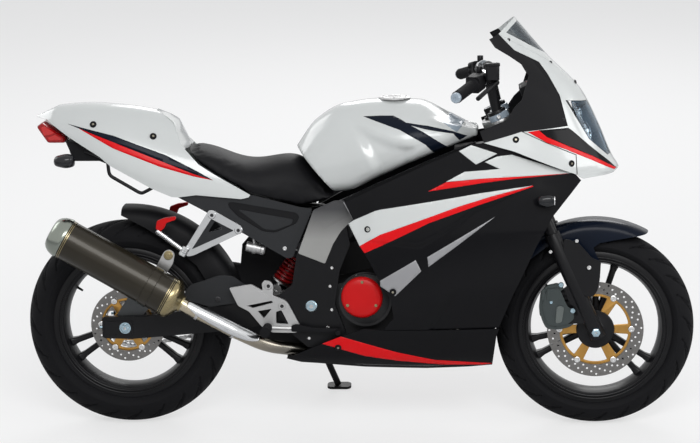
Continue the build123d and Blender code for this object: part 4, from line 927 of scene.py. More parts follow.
# ---------------------------------------------------------------- nose, screen and panels
upper_grid = deck_surface(UPPER, 735, 1218, 92, 40, 40)
lower_grid = deck_surface(LOWER, 181, 868, 124, 110)
tail_grid = rib_surface(TAIL_ROWS, -268, 388, 120, bottom=False)
tank_grid = rib_surface(TANK_ROWS, 500, 1036, 100, bottom=True)
TANK_NOSE_Z = 880       # the tank closes onto this height at its front
for share, x in ((0.985, 1038), (0.95, 1040.5), (0.86, 1043), (0.6, 1045), (0.02, 1045.5)):
    tank_grid.append([(x, p[1] * share, TANK_NOSE_Z + (p[2] - TANK_NOSE_Z) * share)
                      for p in tank_grid[100]])

SEAM = ((1064, 863), (1152, 840), (1331, 765), (1346, 747.5))
NOSE = [(1107, 1171), (1152, 1124), (1224, 1086), (1249, 1052), (1284, 990), (1307, 903),
        (1172, 893), *SEAM[:3], (1341, 756), (1352, 750), (1446, 757), (1470, 770),
        (1480, 987), (1351, 987), (1318, 1031), (1256, 1085)]
LAMP = [(1317, 972), (1430, 960), (1490, 830), (1424, 812), (1368, 864), (1350, 896)]
LAMP_CUT = [(1300, 976), (1432, 962), (1500, 832), (1424, 811), (1368, 863), (1349, 895)]
SCREEN = [(1107, 1171), (1256, 1085), (1318, 1031), (1351, 987), (1430, 987), (1300, 1230),
          (1165, 1230), (1152, 1213)]
INNER = [(1080, 1157), *NOSE[:7], (1064, 863), (1052, 896), (1130, 929), (1152, 963),
         (1174, 985), (1185, 1022), (1194, 1050), (1173, 1084), (1140, 1107), (1097, 1133)]
skin("nose_white", upper_grid, NOSE, m_white, cut=[LAMP_CUT], stands_for=("nose_cowl",))
skin("nose_side_panel", upper_grid, [(1173, 894), (1244, 859), (1329, 820), (1332, 765),
                                     (1310, 772), (1152, 838), (1068, 862)], m_white,
     lift=1.4, wall=1.6)
decal("nose_black", upper_grid, [(1222, 896), (1308, 898), (1322, 887), (1371, 843),
                                 (1424, 798), (1451, 772), (1380, 813), (1245, 876)], m_black)
decal("nose_red", upper_grid, [(1190, 892), (1222, 896), (1245, 876), (1380, 813),
                               (1451, 772), (1445, 768), (1372, 804), (1300, 838),
                               (1245, 860)], m_red_paint)
decal("panel_seam", upper_grid, [(1173, 895), (1244, 860), (1330, 821), (1333, 765),
                                 (1331, 765), (1328.4, 819.6), (1243.4, 858.4),
                                 (1172.4, 893.4)], m_plastic, lift=2.2)
skin("inner_panels", upper_grid, inset(INNER, 0.4), m_plastic, stands_for=("inner_fairing",))
skin("screen_sheet", upper_grid, inset(SCREEN, 12), m_screen, lift=-0.5, wall=2.4, bevel=0.5,
     stands_for=("windscreen",))
skin("screen_surround", upper_grid, inset(SCREEN, 0.4), m_white, wall=3.4,
     cut=[inset(SCREEN, 13)])

# ---------------------------------------------------------------- side fairings and belly
PANEL_FOOT = 312
SIDE_PANEL = [*[(x - 0.3, z - 0.3) for x, z in SEAM[::-1]], (1036, 858), (908, 806),
              (763, 741), (660, 692), (686, 640), (671, 630), (703, 565), (717, 544),
              (762, 459), (792, 406), (800, 350), (770, PANEL_FOOT), (1107, PANEL_FOOT),
              (1150, 420), (1215, 560), (1262, 647)]
BELLY = [(480, 218), (523, 206), (576, 203), (711, 191), (770, 189), (893, 185), (1016, 188),
         (1086, 193), (1099, 290), (1107, 311.7), (770, 311.7), (716, 318), (644, 293),
         (588, 269)]
CREASE = [(640, 592), (878, 567), (981, 627), (1038, 673), (1262, 760)]
CREASE_STEP, KNEE_STEP, SINK = 7.0, 3.6, 3.0


def crease(co, normal):
    """Raises the panel behind its long diagonal crease and sinks the knee edge."""
    x, z = co.x, co.z
    height = z - CREASE[0 if x < CREASE[0][0] else -1][1]
    for (x0, z0), (x1, z1) in zip(CREASE, CREASE[1:]):
        if x0 <= x <= x1:
            height = z - (z0 + (z1 - z0) * (x - x0) / (x1 - x0))
    step = CREASE_STEP * smoothstep((height + 7) / 14) * smoothstep((x - 690) / 60) \
        * smoothstep((1215 - x) / 150)
    front = KNEE_STEP * smoothstep((x - (905 + (z - PANEL_FOOT) * 0.62) + 6) / 12) \
        * smoothstep((460 - z) / 90)
    return co + normal * (step - front - SINK)


skin("fairing_panels", lower_grid, SIDE_PANEL, m_black, pair=True, shape=crease,
     stands_for=("side_fairings",), bevel=1.0)
skin("belly_sides", lower_grid, BELLY, m_black, pair=True, bevel=1.0)
for name, mat, outline in (
        ("strip_white", m_white, [(671, 630), (686, 640), (750, 669), (765, 673), (1050, 719),
                                  (1205, 738), (1085, 710), (987, 681), (764, 600),
                                  (703, 565)]),
        ("strip_red", m_red_paint, [(703, 565), (764, 600), (987, 681), (1085, 710),
                                    (1205, 738), (1207, 735), (1044, 684), (906, 635),
                                    (764, 565), (717, 544)]),
        ("flash_white", m_white, [(955, 753), (1008, 781), (1109, 787), (1066, 808),
                                  (1102, 823), (1145, 827), (1317, 769), (1063, 761)]),
        ("flash_patch", m_white, [(992, 840), (1027, 857), (1102, 831), (1041, 801)]),
        ("flash_red", m_red_paint, [(903, 726), (955, 752), (1063, 761), (1317, 769),
                                    (1150, 758), (1057, 748)]),
        ("wedge_low", m_silver, [(762, 463), (866, 525), (882, 492), (805, 417), (762, 447)]),
        ("wedge_high", m_silver, [(900, 534), (1097, 652), (981, 563), (903, 505)])):
    decal(name, lower_grid, outline, mat, 0.0, pair=True,
          shape=lambda co, n: crease(co, n) + n * 0.4)
decal("belly_red", lower_grid, [(588, 269), (644, 293), (811, 241), (919, 214), (1086, 198),
                                (1060, 194), (934, 198), (811, 213), (713, 230)],
      m_red_paint, pair=True)
settle(loft([[(x, y, h + up) for y, up in ((-w, 8), (14 - w, 1), (0, 0), (w - 14, 1), (w, 8),
                                           (w - 2, 12), (0, 5), (2 - w, 12))]
             for x, w, h in ((481, 117, 211), (523, 123, 207), (576, 128, 203),
                             (711, 133, 192), (893, 124, 186), (1016, 110, 189),
                             (1085, 98, 194))], "belly_floor"), m_black,
       stands_for=("belly_pan",))
studs("fairing_studs", lambda x, z: deck_half(LOWER, x, z) + 1.0,
      [(728, 615), (992, 811), (799, 430), (635, 257)])
studs("nose_studs", lambda x, z: deck_half(UPPER, x, z) + 1.0, [(1156, 872), (1317, 797)], 9.5)
for name, proud, spots in (("nose_screws", 0.6, [(1293, 922)]),
                           ("screen_screws", -0.5, [(1136, 1153), (1258, 1081),
                                                    (1330, 1019)])):
    screws(name, [(x, z, deck_half(UPPER, x, z) + proud) for x, z in spots], head=5)

# ---------------------------------------------------------------- tail and tank
TAIL = [(-266, 928), (-167, 975), (60, 975), (91, 947), (129, 928), (150, 913), (161, 885),
        (175, 851), (188, 837.7), (229, 794.7), (279, 763.7), (356, 720.7), (381, 706),
        (376, 699), (354, 694), (222, 706), (168, 699), (149, 700), (92, 724), (-35, 793),
        (-63, 817), (-156, 873), (-226, 921)]
skin("tail_shell", tail_grid, TAIL, m_white, stands_for=("tail_cowl",), bevel=1.2)
decal("tail_black", tail_grid, [(-161, 912), (-22, 879), (133, 822), (229, 774), (273, 749),
                                (214, 768), (118, 806), (-23, 861)], m_navy, 0.6)
decal("tail_red", tail_grid, [(-128, 900), (-23, 864), (118, 810), (214, 771), (273, 749),
                              (214, 761), (117, 789), (-23, 843)], m_red_paint)
HUMP = [(96, 946), (129, 928), (150, 913), (161, 885), (175, 851), (187, 839)]
sheet("tail_hump", [[(x + 9 * (1 - s * s) * (z < 925), (rib_half(TAIL_ROWS, x, z) - 1.0) * s, z)
                     for s in [k / 9 - 1 for k in range(19)]] for x, z in HUMP], m_white,
      wall=2.5)
studs("tail_studs", lambda x, z: rib_half(TAIL_ROWS, x, z), [(-84, 911), (94, 876)])

KNEE = [(655, 918), (716, 906), (805, 868), (885, 852), (850, 790), (759, 750), (735, 790),
        (690, 868)]
KNEE_DEEP, KNEE_SLOPE = 13.0, 30.0
TANK_CUT = [(517.3, 830), (629.3, 702), (674.8, 650), (1100, 650), (1100, 1000), (400, 1000),
            (412, 950)]


def knee(co, normal):
    """Sinks the hollow for the rider's knee into the tank."""
    if 640 < co.x < 900 and 740 < co.z < 930 and inside(KNEE, co.x, co.z):
        return co - normal * KNEE_DEEP * smoothstep(edge_distance(KNEE, co.x, co.z)
                                                    / KNEE_SLOPE)
    return co


skin("tank_shell", tank_grid, TANK_CUT, m_white, shape=knee, wall=2.5,
     stands_for=("fuel_tank",), bevel=0)
for name, mat, outline in (
        ("tank_band", m_navy, [(712, 931), (761, 934), (801, 934), (823, 925), (847, 912),
                               (891, 890), (930, 865), (960, 845), (921, 827), (895, 855),
                               (874, 868), (822, 896)]),
        ("tank_line", m_navy, [(804, 921), (902, 908), (974, 891), (1015, 874), (993, 863),
                               (975, 884), (902, 897)]),
        ("tank_patch", m_bluegrey, [(946, 915), (968, 937), (1018, 921), (1007, 909),
                                    (985, 887)])):
    decal(name, tank_grid, [outline, TANK_CUT], mat, 0.0,
          shape=lambda co, n: knee(co, n) + n * 0.4)
FILLER = Vector((800, 0, 976))
lid = turned([(0, 5), (26, 5), (28, 3.5), (34, 3.5), (44, 3), (47, 1), (47, -3), (0, -3)],
             FILLER, UP, 48)
flap = loft([[FILLER + Vector((x, y, up)) for x, y in soft_box(w, h, 5)]
             for w, h, up in ((36, 17, 4), (36, 17, 7.2), (33, 14, 8.4))])
group("filler_cap", [lid, flap] + [
    bolt(frame_of(FILLER + Vector((*polar(39, 30 + 60 * k), 3)), UP), 3, 2)
    for k in range(6)], m_alloy, stands_for=("fuel_cap",), angle=30)

# ---------------------------------------------------------------- seat
# The solid's own form, drawn in a little, then swelled as padding.
VOXEL, DRAWN_IN, MOST_SWELL = 0.006, 0.003, 0.005
PRESSURE, SETTLING_FRAMES = 4.0, 20
seat = cleaned("seat_pad", NODES["seat"].data, 1e-5, outward=False)
voxels = seat.modifiers.new("voxels", "REMESH")
voxels.mode, voxels.voxel_size = "VOXEL", VOXEL
seat.data = evaluated(seat)
seat.modifiers.clear()
bm = bmesh.new()
bm.from_mesh(seat.data)
for _ in range(3):
    bmesh.ops.smooth_vert(bm, verts=bm.verts, factor=0.5, use_axis_x=True, use_axis_y=True,
                          use_axis_z=True)
bm.normal_update()
for v in bm.verts:
    v.co -= v.normal * DRAWN_IN
bm.to_mesh(seat.data)
bm.free()
start = [v.co.copy() for v in seat.data.vertices]
cloth = seat.modifiers.new("swell", "CLOTH").settings
cloth.use_pressure, cloth.uniform_pressure_force = True, PRESSURE
cloth.effector_weights.gravity, cloth.quality = 0.0, 5
for f in range(1, SETTLING_FRAMES + 1):
    bpy.context.scene.frame_set(f)
swollen = bpy.data.meshes.new_from_object(seat.evaluated_get(
    bpy.context.evaluated_depsgraph_get()))
seat.modifiers.clear()
bpy.context.scene.frame_set(1)
for v, home in zip(swollen.vertices, start):
    move = v.co - home
    if move.length > MOST_SWELL:
        v.co = home + move * (MOST_SWELL / move.length)
seat.data = swollen
# a soft ridge near each edge, and a sweep pressed into the side
lean_back, leaned = PARK.inverted(), PARK.to_3x3()
for v in seat.data.vertices:
    x, y, z = lean_back @ v.co
    ridge = math.exp(-((abs(y) - 70) / 26) ** 2) * smoothstep((z - 775) / 20)
    sweep = math.exp(-((z - (735 + 0.22 * (470 - x))) / 16) ** 2) \
        * smoothstep((abs(y) - 90) / 18)
    v.co -= leaned @ Vector((0, math.copysign(1, y), 0.4)) * (1.6 * sweep - 0.5 * ridge)
seat.data.materials.clear()
seat.data.materials.append(m_leather)
for p in seat.data.polygons:
    p.use_smooth = True
fine = seat.modifiers.new("fine", "SUBSURF")
fine.levels = fine.render_levels = 1
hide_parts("seat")
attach(seat, "chassis")


# ---------------------------------------------------------------- mudguards and covers
def guard_grid(axle, radius, profile, start, stop, steps, half=0):
    """A mudguard's surface round an axle; profile rows are (across, drop)."""
    rows = [(i, *p) for i, p in enumerate(profile)]
    line = []
    for k in range(-24, 25):
        if half * k >= 0:
            _, across, drop = cubic(rows, abs(k) / 24 * (len(profile) - 1))
            line.append((math.copysign(across, k), radius - drop))
    return [[tuple(axle + ray(start + (stop - start) * i / steps, r) + ACROSS * y)
             for y, r in line] for i in range(steps + 1)]


FRONT_GUARD = ((0, 0), (22, 1), (42, 4), (57, 12), (66, 28), (69, 56), (69, 130))
REAR_GUARD = ((0, 0), (28, 1), (52, 5), (68, 14), (77, 30), (80, 60), (80, 150))
FENDER = [(1549, 578), (1517, 571), (1455, 561), (1402, 551), (1384, 537), (1394, 512),
          (1405, 494), (1374, 486), (1330, 535), (1302, 564), (1247, 540), (1188, 494),
          (1150, 446), (1090, 440), (1070, 480), (1150, 640), (1400, 660), (1565, 640)]
HUGGER = [(-30, 690), (-20, 655), (-12, 638), (20, 622), (62, 600), (138, 549), (212, 487),
          (240, 440), (250, 404), (334, 396), (420, 384), (440, 500), (300, 700)]
HUGGER_LEFT = [(-30, 690), (-20, 655), (-12, 638), (20, 626), (90, 612), (190, 560),
               (262, 485), (300, 426), (440, 426), (440, 500), (300, 700)]
skin("fender_shell", guard_grid(FRONT_AXLE, 325, FRONT_GUARD, 61, 148, 90), FENDER, m_navy,
     stands_for=("front_fender",), body="steering", wall=2.4, bevel=1.0)
for name, outline, half, stands_for in (("hugger_shell", HUGGER, -1, ("rear_hugger",)),
                                        ("hugger_left", HUGGER_LEFT, 1, ())):
    skin(name, guard_grid(REAR_AXLE, 352, REAR_GUARD, 14, 92, 80, half), outline, m_plastic,
         stands_for=stands_for, wall=2.4, bevel=1.0)
settle(plate([(-55, 0), (55, 0), (55, 30), (-55, 30)], 4,
             frame_of((378, 0, 386), (0.3, 0, 1), (0, 1, 0)), name="hugger_foot"), m_plastic,
       bevel=1)

COVER = [(170, 700), (222, 706), (356, 696), (384, 705), (526, 668), (561, 664), (557, 650),
         (502, 519), (485, 516)]
SCOOP = rounded([(313, 683), (329, 684), (514, 652), (524, 640), (514, 619), (451, 592),
                 (415, 596), (343, 640), (317, 667)], 9)
FRAME_COVER = [(566, 662), (628, 690), (656, 690), (683, 637), (645, 598), (622, 561),
               (598, 503), (519, 534)]
both("cover_shell", COVER, [SCOOP], 4.0, 123.4, m_charcoal, 4, ("side_covers",), soft=1.4)
# the scoop's sunk floor is a darker black than the cover: painted shade in the recess
both("scoop_painted_shade", SCOOP, [], 1.2, 120.6, m_plastic)
both("cover_inner", [(342, 662), (505, 632), (500, 618), (451, 600), (420, 603)], [], 2.2,
     122.4, m_charcoal, 8, soft=1.0)
screws("cover_bolts", [(479, 546)], 123.2, m_bolt, head=6)
# the frame covers and their rib darken towards the top: painted shade
both("frame_cover_shell", FRAME_COVER, [], 4.0, 140.0, m_silver_top_shade, 5, ("frame_covers",), soft=1.4)
both("frame_cover_rib", [(572, 662), (630, 686), (652, 684), (668, 646), (636, 632),
                         (600, 606), (572, 640)], [], 2.4, 141.6, m_silver_top_shade, 6, soft=1.2)
# a thin silver strip along the side fairing's rear edge: a painted highlight
both("painted_edge_highlight", [(657, 691), (660, 692), (689, 640), (686, 638)], [], 1.0, 186.5, m_silver)

# ---------------------------------------------------------------- exhaust
CAN_BACK, CAN_FRONT = Vector((-160, -196, 588)), Vector((135, -196, 420))
RUN, LONG = (CAN_FRONT - CAN_BACK).normalized(), (CAN_FRONT - CAN_BACK).length
LAST, CAN_R = LONG + 24, 59.6


def about_can(profile, name="turned"):
    """A turned piece about the muffler's axis; profile rows are (radius, along)."""
    return revolve(profile, CAN_BACK, RUN, 72, name=name)


settle(about_can([(56, -7), (59, -5), (59.3, LONG / 2), (59, LAST - 8), (56, LAST - 6)],
                 "can_sleeve"), m_can, stands_for=("muffler",))
settle(about_can([(59, 2), (61, 2), (61.6, -1), (61.6, -6), (60.4, -9), (60, -11), (58.6, -16),
                  (55.5, -25), (49, -35), (41, -41.5), (33, -44), (25, -43.4), (22.5, -41),
                  (22, -36), (22, -14), (20, -14), (20, 2)], "can_cap"), m_cap, angle=50)
settle(about_can([(r, LAST + on) for r, on in (
    (59, -14), (61, -14), (61.6, -11), (61.6, -5), (60.4, -2), (60, 0), (53, 8), (40, 16),
    (30, 21), (25.5, 25), (25.5, 30), (20, 30), (20, -10))], "can_cone"), m_brass, angle=35)
for name, rows in (("can_rings", (6, 11)), ("can_bands", (LAST - 18, LAST - 23))):
    group(name, [about_can([(CAN_R - 1.5, s - 1), (CAN_R + 0.5, s - 0.8),
                            (CAN_R + 0.5, s + 0.8), (CAN_R - 1.5, s + 1)]) for s in rows],
          m_brass)
settle(about_can([(59.5, LONG - 66), (62.4, LONG - 65), (62.4, LONG - 39), (59.5, LONG - 38)],
                 "strap"), m_can, bevel=0.6)
group("tab", [side_plate(rounded([(78, 436), (104, 436), (150, 505), (156, 535), (139, 547),
                                  (124, 540), (92, 480)], 8), 5, -138.5)], m_steel, bevel=1)
group("hanger_bolts", [side_bolt(137, -141, 529, 14, 7, False),
                       side_bolt(137, -147.5, 529, 8, 3)], m_brass, angle=30)

# the shield follows the pipe's line and narrows towards both its ends
PIPE = [CAN_FRONT + RUN * 66, CAN_FRONT + RUN * 106, *map(Vector, (
    (291, -191, 333), (330, -185, 311), (368, -175, 290), (396, -166, 276)))]
rows = []
for i in range(31):
    t = i / 30 * (len(PIPE) - 1.001)
    k = int(t)
    p, d = PIPE[k].lerp(PIPE[k + 1], t - k), (PIPE[k + 1] - PIPE[k]).normalized()
    up = Vector((-d.z, 0, d.x)).normalized()
    out = d.cross(up)
    out = out if out.y < 0 else -out
    wide = math.sin(math.pi * (i + 0.6) / 31) ** 0.55
    rows.append([tuple(p + (out * math.cos(a) + up * math.sin(a)) * (22 + 2.5 * wide))
                 for a in [math.radians(38 + 62 * wide * (j / 6 - 1)) for j in range(13)]])
sheet("heat_shield", rows, m_polish, wall=1.6)
group("shield_clips", [revolve([(20.2, -4), (22.4, -4), (22.4, 4), (20.2, 4)], PIPE[k],
                               PIPE[k + 1] - PIPE[k], 36) for k in (1, 3)], m_steel)

# ---------------------------------------------------------------- brackets and pegs
PASSENGER = [(252, 652), (258, 661), (270, 662), (350, 616), (358, 606), (354, 594),
             (342, 589), (212, 528), (196, 524), (180, 530), (178, 546), (190, 554)]
RIDER = [(315, 432), (380, 443), (414, 424), (411, 445), (420, 455), (436, 452), (445, 440),
         (443, 410), (476, 397), (487, 388), (522, 320), (519, 304), (508, 298), (440, 299),
         (408, 318), (372, 362), (340, 379)]
CLIP = rounded([(102, 608), (116, 602), (128, 612), (133, 626), (162, 636), (161, 645),
                (130, 641), (106, 632)], 4, 3)
PEDAL = rounded([(497, 303), (497, 321), (512, 325), (560, 315), (640, 312), (646, 305),
                 (640, 298), (560, 301)], 5, 3)


def ribbed(first, pitch, count, high, low, steps):
    """Profile rows of a ribbed length."""
    return [(r, first + pitch * k + on) for k in range(count)
            for r, on in zip((high, high, low, low), (0, *steps))]


both("passenger_hangers", PASSENGER, [rounded([(265, 636), (331, 601), (205, 545)], 4, 3)],
     10.0, 135.0, m_polish, 6, ("passenger_footrests",), soft=2.0)
both("hanger_webs", rounded([(265, 641), (339, 601), (198, 539)], 6, 3),
     [rounded([(275, 630), (297, 606), (254, 595)], 4, 3)], 5.0, 131.0, m_charcoal)
bits, dark, pads = [], [], []
for side in (-1, 1):
    for x, z in ((267, 647), (344, 602)):
        bits.append(revolve([(5, 0), (11.5, 0), (11.5, 2), (10, 3.5), (5, 3.5)],
                            (x, side * 134, z), ACROSS * side))
        dark.append(side_bolt(x, side * 135, z, 6.0, 2.6))
    joint, tip = Vector((184, side * 142, 541)), Vector((104, side * 142, 602))
    bits.append(turned([(0, -15), (11, -15), (12.5, -13), (12.5, -4), (11, -3), (11, 3),
                        (12.5, 4), (12.5, 13), (11, 15), (0, 15)], joint, (0.55, 0, 1), 28))
    bits.append(turned([(0, 0), *ribbed(10, 5.5, 16, 8.6, 7.4, (3.2, 3.7, 5.0)), (8.4, 99),
                        (7, 101), (0, 101)], joint, tip - joint, 24))
    pads.append(side_plate(CLIP, 12, side * 142))
group("passenger_pegs", bits, m_polish, angle=30)
group("peg_clips", pads, m_red, bevel=2)

both("rider_hangers", RIDER, [
    rounded([(398, 363), (440, 370), (416, 341)], 3, 3),
    rounded([(366, 379), (440, 394), (444, 388), (384, 372)], 3, 3),
    rounded([(452, 361), (468, 366), (489, 324), (452, 326)], 4, 3)], 9.0, 146.5, m_satin, 5,
     ("rider_footrests",), soft=1.6)
both("heel_plates", [(319, 429), (379, 439), (436, 404), (343, 384)], [], 2.4, 148.4, m_satin,
     5, soft=1.0)
bits, rubber = [], []
for side in (-1, 1):
    for x, z in ((470, 378), (507, 312), (431, 438)):
        bits.append(revolve([(5, 0), (11, 0), (11, 1.6), (9.6, 3), (5, 3)], (x, side * 146, z),
                            ACROSS * side))
        dark.append(side_bolt(x, side * 146.5, z, 5.8, 3))
    bits.append(tube([(440, side * 150, 314), (505, side * 150, 312)], 5.5, False))
    rubber.append(turned([(0, 0), (13.5, 0), *ribbed(12, 72 / 13, 13, 14, 12.4,
                                                     (3.4, 3.9, 5.0)),
                          (14, 86), (15.5, 90), (0, 91)], (427, side * 147.5, 314),
                         (0, side, 0.03), 28))
    rubber.append(side_plate(PEDAL, 7, side * 152, bevel=1.0))
    rubber.append(turned([(0, 0), (7, 0), (7.6, 4), (7.6, 28), (6.5, 30), (0, 30)],
                         (636, side * 151, 304), ACROSS * side, 20))
group("rider_fittings", bits, m_satin, stands_for=("foot_levers",), angle=30)
group("rider_pegs", rubber, m_rubber, angle=40)
group("bracket_bolts", dark, m_darkbolt, angle=30)

# ---------------------------------------------------------------- engine and suspension
settle(turned([(0, 18), (38, 17), (52, 14.5), (58, 11), (61, 5), (61, 0), (0, 0)],
              (706, -148, 405), -ACROSS, 80, "lid"), m_red, stands_for=("clutch_cover",),
       angle=40)
settle(turned([(0, 0), (70, 0), (74, -2), (77.5, -7), (77.5, -14), (80.5, -16), (80.5, -20),
               (77.5, -22), (77.5, -36), (0, -36)], (716, -148.2, 396), -ACROSS, 80,
              "housing"), m_engine, angle=35)
screws("clutch_screws", [(*polar(47, a, 706, 405), 163) for a in (88, 208, -28)], mat=m_brass,
       head=4.6, pair=False)
screws("engine_screws", [(*polar(74, a, 716, 396), 141) for a in range(20, 380, 45)]
       + [(x, z, 136) for x, z in ((612, 435), (616, 365), (603, 312), (631, 300), (618, 490),
                                   (560, 600), (548, 280))], mat=m_bolt, head=4.6, pair=False)
# fins across the cylinder, stacked up its lean
FIN_LOW, FIN_TOP, FIN_HALF, FIN_RUN = Vector((835, 0, 470)), Vector((915, 0, 645)), 94, 62
group("cylinder_fins", [
    loft([[(p.x + c * FIN_RUN * 0.9 - s, y, p.z - c * FIN_RUN * 0.42 + s * 0.4)
           for c, s in ((-1, -2), (1, -2), (1, 2), (-1, 2))] for y in (-FIN_HALF, FIN_HALF)])
    for p in [FIN_LOW.lerp(FIN_TOP, k / 8) for k in range(9)]], m_engine, bevel=0.6)

SHOCK_FOOT, SHOCK_HEAD = Vector((440, 0, 401.3)), Vector((560, 0, 575))
way = (SHOCK_HEAD - SHOCK_FOOT).normalized()
other = way.cross(ACROSS)
COIL_R, COIL_FIRST, COIL_LONG, COIL_TURNS, PER_TURN = 25.5, 34, 98, 8, 16
coil = [tuple(SHOCK_FOOT + way * (COIL_FIRST + COIL_LONG * k / (COIL_TURNS * PER_TURN))
              + (ACROSS * math.cos(a) + other * math.sin(a)) * COIL_R)
        for k, a in [(k, 2 * math.pi * k / PER_TURN)
                     for k in range(COIL_TURNS * PER_TURN + 1)]]
settle(tube(coil, 5.0, sides=10, name="shock_spring"), m_spring)
group("shock_body", [
    revolve([(6, -14), (17, -14), (17, 14), (6, 14)], SHOCK_FOOT),
    turned([(0, -4), (9, -4), (9, 26), (31, 26), (31, 31), (24, 34), (13, 36), (13, 128),
            (24, 131), (31, 135), (31, 140), (20, 142), (20, 190), (14, 200), (0, 200)],
           SHOCK_FOOT, way, 36)], m_steel, stands_for=("rear_shock",), angle=35)
RESERVOIR, RESERVOIR_RUN = (362, -92, 548), (1, 0, -0.22)
group("shock_reservoir", [
    turned([(0, 0), (13, 0), (15, 2), (15, 44), (16.5, 46), (16.5, 54), (14, 57), (0, 58)],
           RESERVOIR, RESERVOIR_RUN),
    revolve([(15, 20), (17.5, 20), (17.5, 30), (15, 30)], RESERVOIR, RESERVOIR_RUN),
    tube([(386, -98, 556), (386, -104, 582)], 4, False)], m_satin, angle=35)

# calipers' pistons and bolts (reach from the axle, y), then axle ends and adjusters
for name, axle, at, piston, stud, body in (
        ("front_caliper_pots", FRONT_AXLE, 150, (142, -84), (163, -99), "steering"),
        ("rear_caliper_pots", REAR_AXLE, 55, (120, -79), (137, -83), "chassis")):
    bits = []
    for k in (-1, 1):
        p = axle + ray(at, piston[0]) + ray(at + 90, 20 * k)
        bits.append(turned([(0, 0), (17, 0), (17, 5), (15, 7), (6, 7), (5, 5), (0, 5)],
                           (p.x, piston[1], p.z), -ACROSS))
        p = axle + ray(at, stud[0]) + ray(at + 90, 33 * k)
        bits.append(side_bolt(p.x, stud[1], p.z, 6, 5))
    group(name, bits, m_caliper, body, angle=35)
ends, nuts, front_nuts = [], [], []
for side in (-1, 1):
    way = ACROSS * side
    ends += [side_plate(rounded([(-62, 288), (22, 286), (22, 328), (-62, 326)], 7, 3), 3,
                        side * 119.4),
             side_plate(rounded([(-69, 278), (-63, 278), (-63, 336), (-69, 336)], 2, 2), 26,
                        side * 106)]
    nuts += [revolve([(8, 0), (17, 0), (17, 2.5), (8, 2.5)], REAR_AXLE + way * 121, way),
             revolve([(5, 0), (13, 0), (13, 7), (11, 9), (5, 9)], REAR_AXLE + way * 123, way,
                     6),
             tube([(-60, side * 106, 307), (-78, side * 106, 307)], 4.5, False),
             revolve([(6, 0), (17, 0), (17, 3), (13, 6), (13, 9), (6, 9)],
                     (556, side * 136, 376), way, 24)]
    front_nuts.append(revolve([(4, 0), (13, 0), (13, 5), (9, 7), (4, 7)],
                              FRONT_AXLE + way * 117, way, 6))
group("arm_ends", ends, m_fork, bevel=1.2)
group("axle_nuts", nuts, m_zinc, angle=30)
group("front_axle_nuts", front_nuts, m_zinc, "steering", angle=30)

# ---------------------------------------------------------------- lamps
LENS_DEEP, LENS_EDGE, BRIDGE_HALF = 30.0, 20.0, 18


def dish(co, normal):
    """The lamp's inside, sunk behind its lens."""
    edge = min(edge_distance(LAMP, co.x, co.z), max(0.0, abs(co.y) - LENS_EDGE))
    return co - normal * (1.5 + LENS_DEEP * smoothstep(edge / LENS_EDGE))


skin("nose_bridge", upper_grid, LAMP_CUT, m_white, band=(0, BRIDGE_HALF))
skin("lamp_dish", upper_grid, LAMP, m_reflector, shape=dish, wall=1.5, band=(20, 200), bevel=0)
skin("lamp_lens", upper_grid, LAMP, m_glass, lift=-0.3, wall=2.2, band=(18.6, 200), bevel=0.4,
     stands_for=("headlights",))
bowls, bulbs = [], []
for side in (-1, 1):
    for x, y, z, r in ((1358, 60, 880, 25), (1335, 55, 933, 16)):
        at, look = (x, side * y, z), (0.9, side * 0.35, 0.3)
        bowls.append(turned([(r, 8), (r + 1.8, 8), (r + 1.8, 2), (r, 1), (r * 0.85, -4),
                             (r * 0.5, -9), (0, -11)], at, look, 40))
        bulbs += [turned([(0, 7), (r * 0.16, 6), (r * 0.22, 2), (r * 0.22, -9)], at, look, 20),
                  revolve([(r * 0.55, -6), (r * 0.62, -5), (r * 0.62, -8), (r * 0.55, -8.6)],
                          at, look)]
group("lamp_bowls", bowls, m_chrome, angle=50, wall=0.8)
group("lamp_bulbs", bulbs, m_lens, angle=40)


def pod(x, z, wide, tall, inner, outer, side):
    """One indicator: a stem and a rounded lens body lying across the motorcycle."""
    shape = rounded([(-wide / 2, -tall * 0.3), (wide * 0.1, -tall / 2),
                     (wide / 2, -tall * 0.38), (wide / 2, tall * 0.38), (wide * 0.1, tall / 2),
                     (-wide / 2, tall * 0.3)], tall * 0.3)
    return loft([[(x + px * k, side * (inner + (outer - inner) * share), z + pz * k)
                  for px, pz in shape]
                 for share, k in ((0, 0.24), (0.3, 0.24), (0.36, 0.6), (0.5, 0.9), (0.68, 1),
                                  (0.86, 0.93), (0.95, 0.74), (1, 0.4))])


for name, *form in (("front_signals", 1243, 698, 50, 38, 172, 226.5),
                    ("rear_signals", -165, 808, 62, 44, 64, 159.5)):
    group(name + "_pods", [pod(*form, side) for side in (-1, 1)], m_smoke,
          stands_for=(name,), angle=50)
RIM = ((204, 14), (216, 14), (222.5, 8), (223.5, 0), (222.5, -8), (216, -14), (204, -14))
group("signal_rims", [tube([(1266.5, side * y, 698 + z) for y, z in RIM], 1.5)
                      for side in (-1, 1)], m_chrome, angle=60)
TAIL_LENS = [(-261, 900), (-243, 913.5), (-175.5, 871.5), (-172, 858), (-178, 851),
             (-228, 851)]
settle(loft([[(x, y, z) for x, z in rounded(inset(TAIL_LENS, by + 0.01), 6, 3)]
             for y, by in ((-57.5, 7), (-54, 2), (-45, 0), (45, 0), (54, 2), (57.5, 7))],
            "tail_lens"), m_redlens, stands_for=("tail_light",), angle=28)
# raised facets on the lens, their brighter red a painted highlight
group("tail_facets", [
    loft([[(x, side * (57.3 + up), z) for x, z in inset(shape, by)]
          for up, by in ((0, 0.01), (1.2, 1.2))])
    for side in (-1, 1) for shape in (
        [(-246, 897), (-236, 903), (-206, 884), (-214, 876), (-238, 874)],
        [(-228, 868), (-203, 878), (-184, 866), (-186, 860), (-222, 860)])], m_facet_highlight_red,
      angle=20)

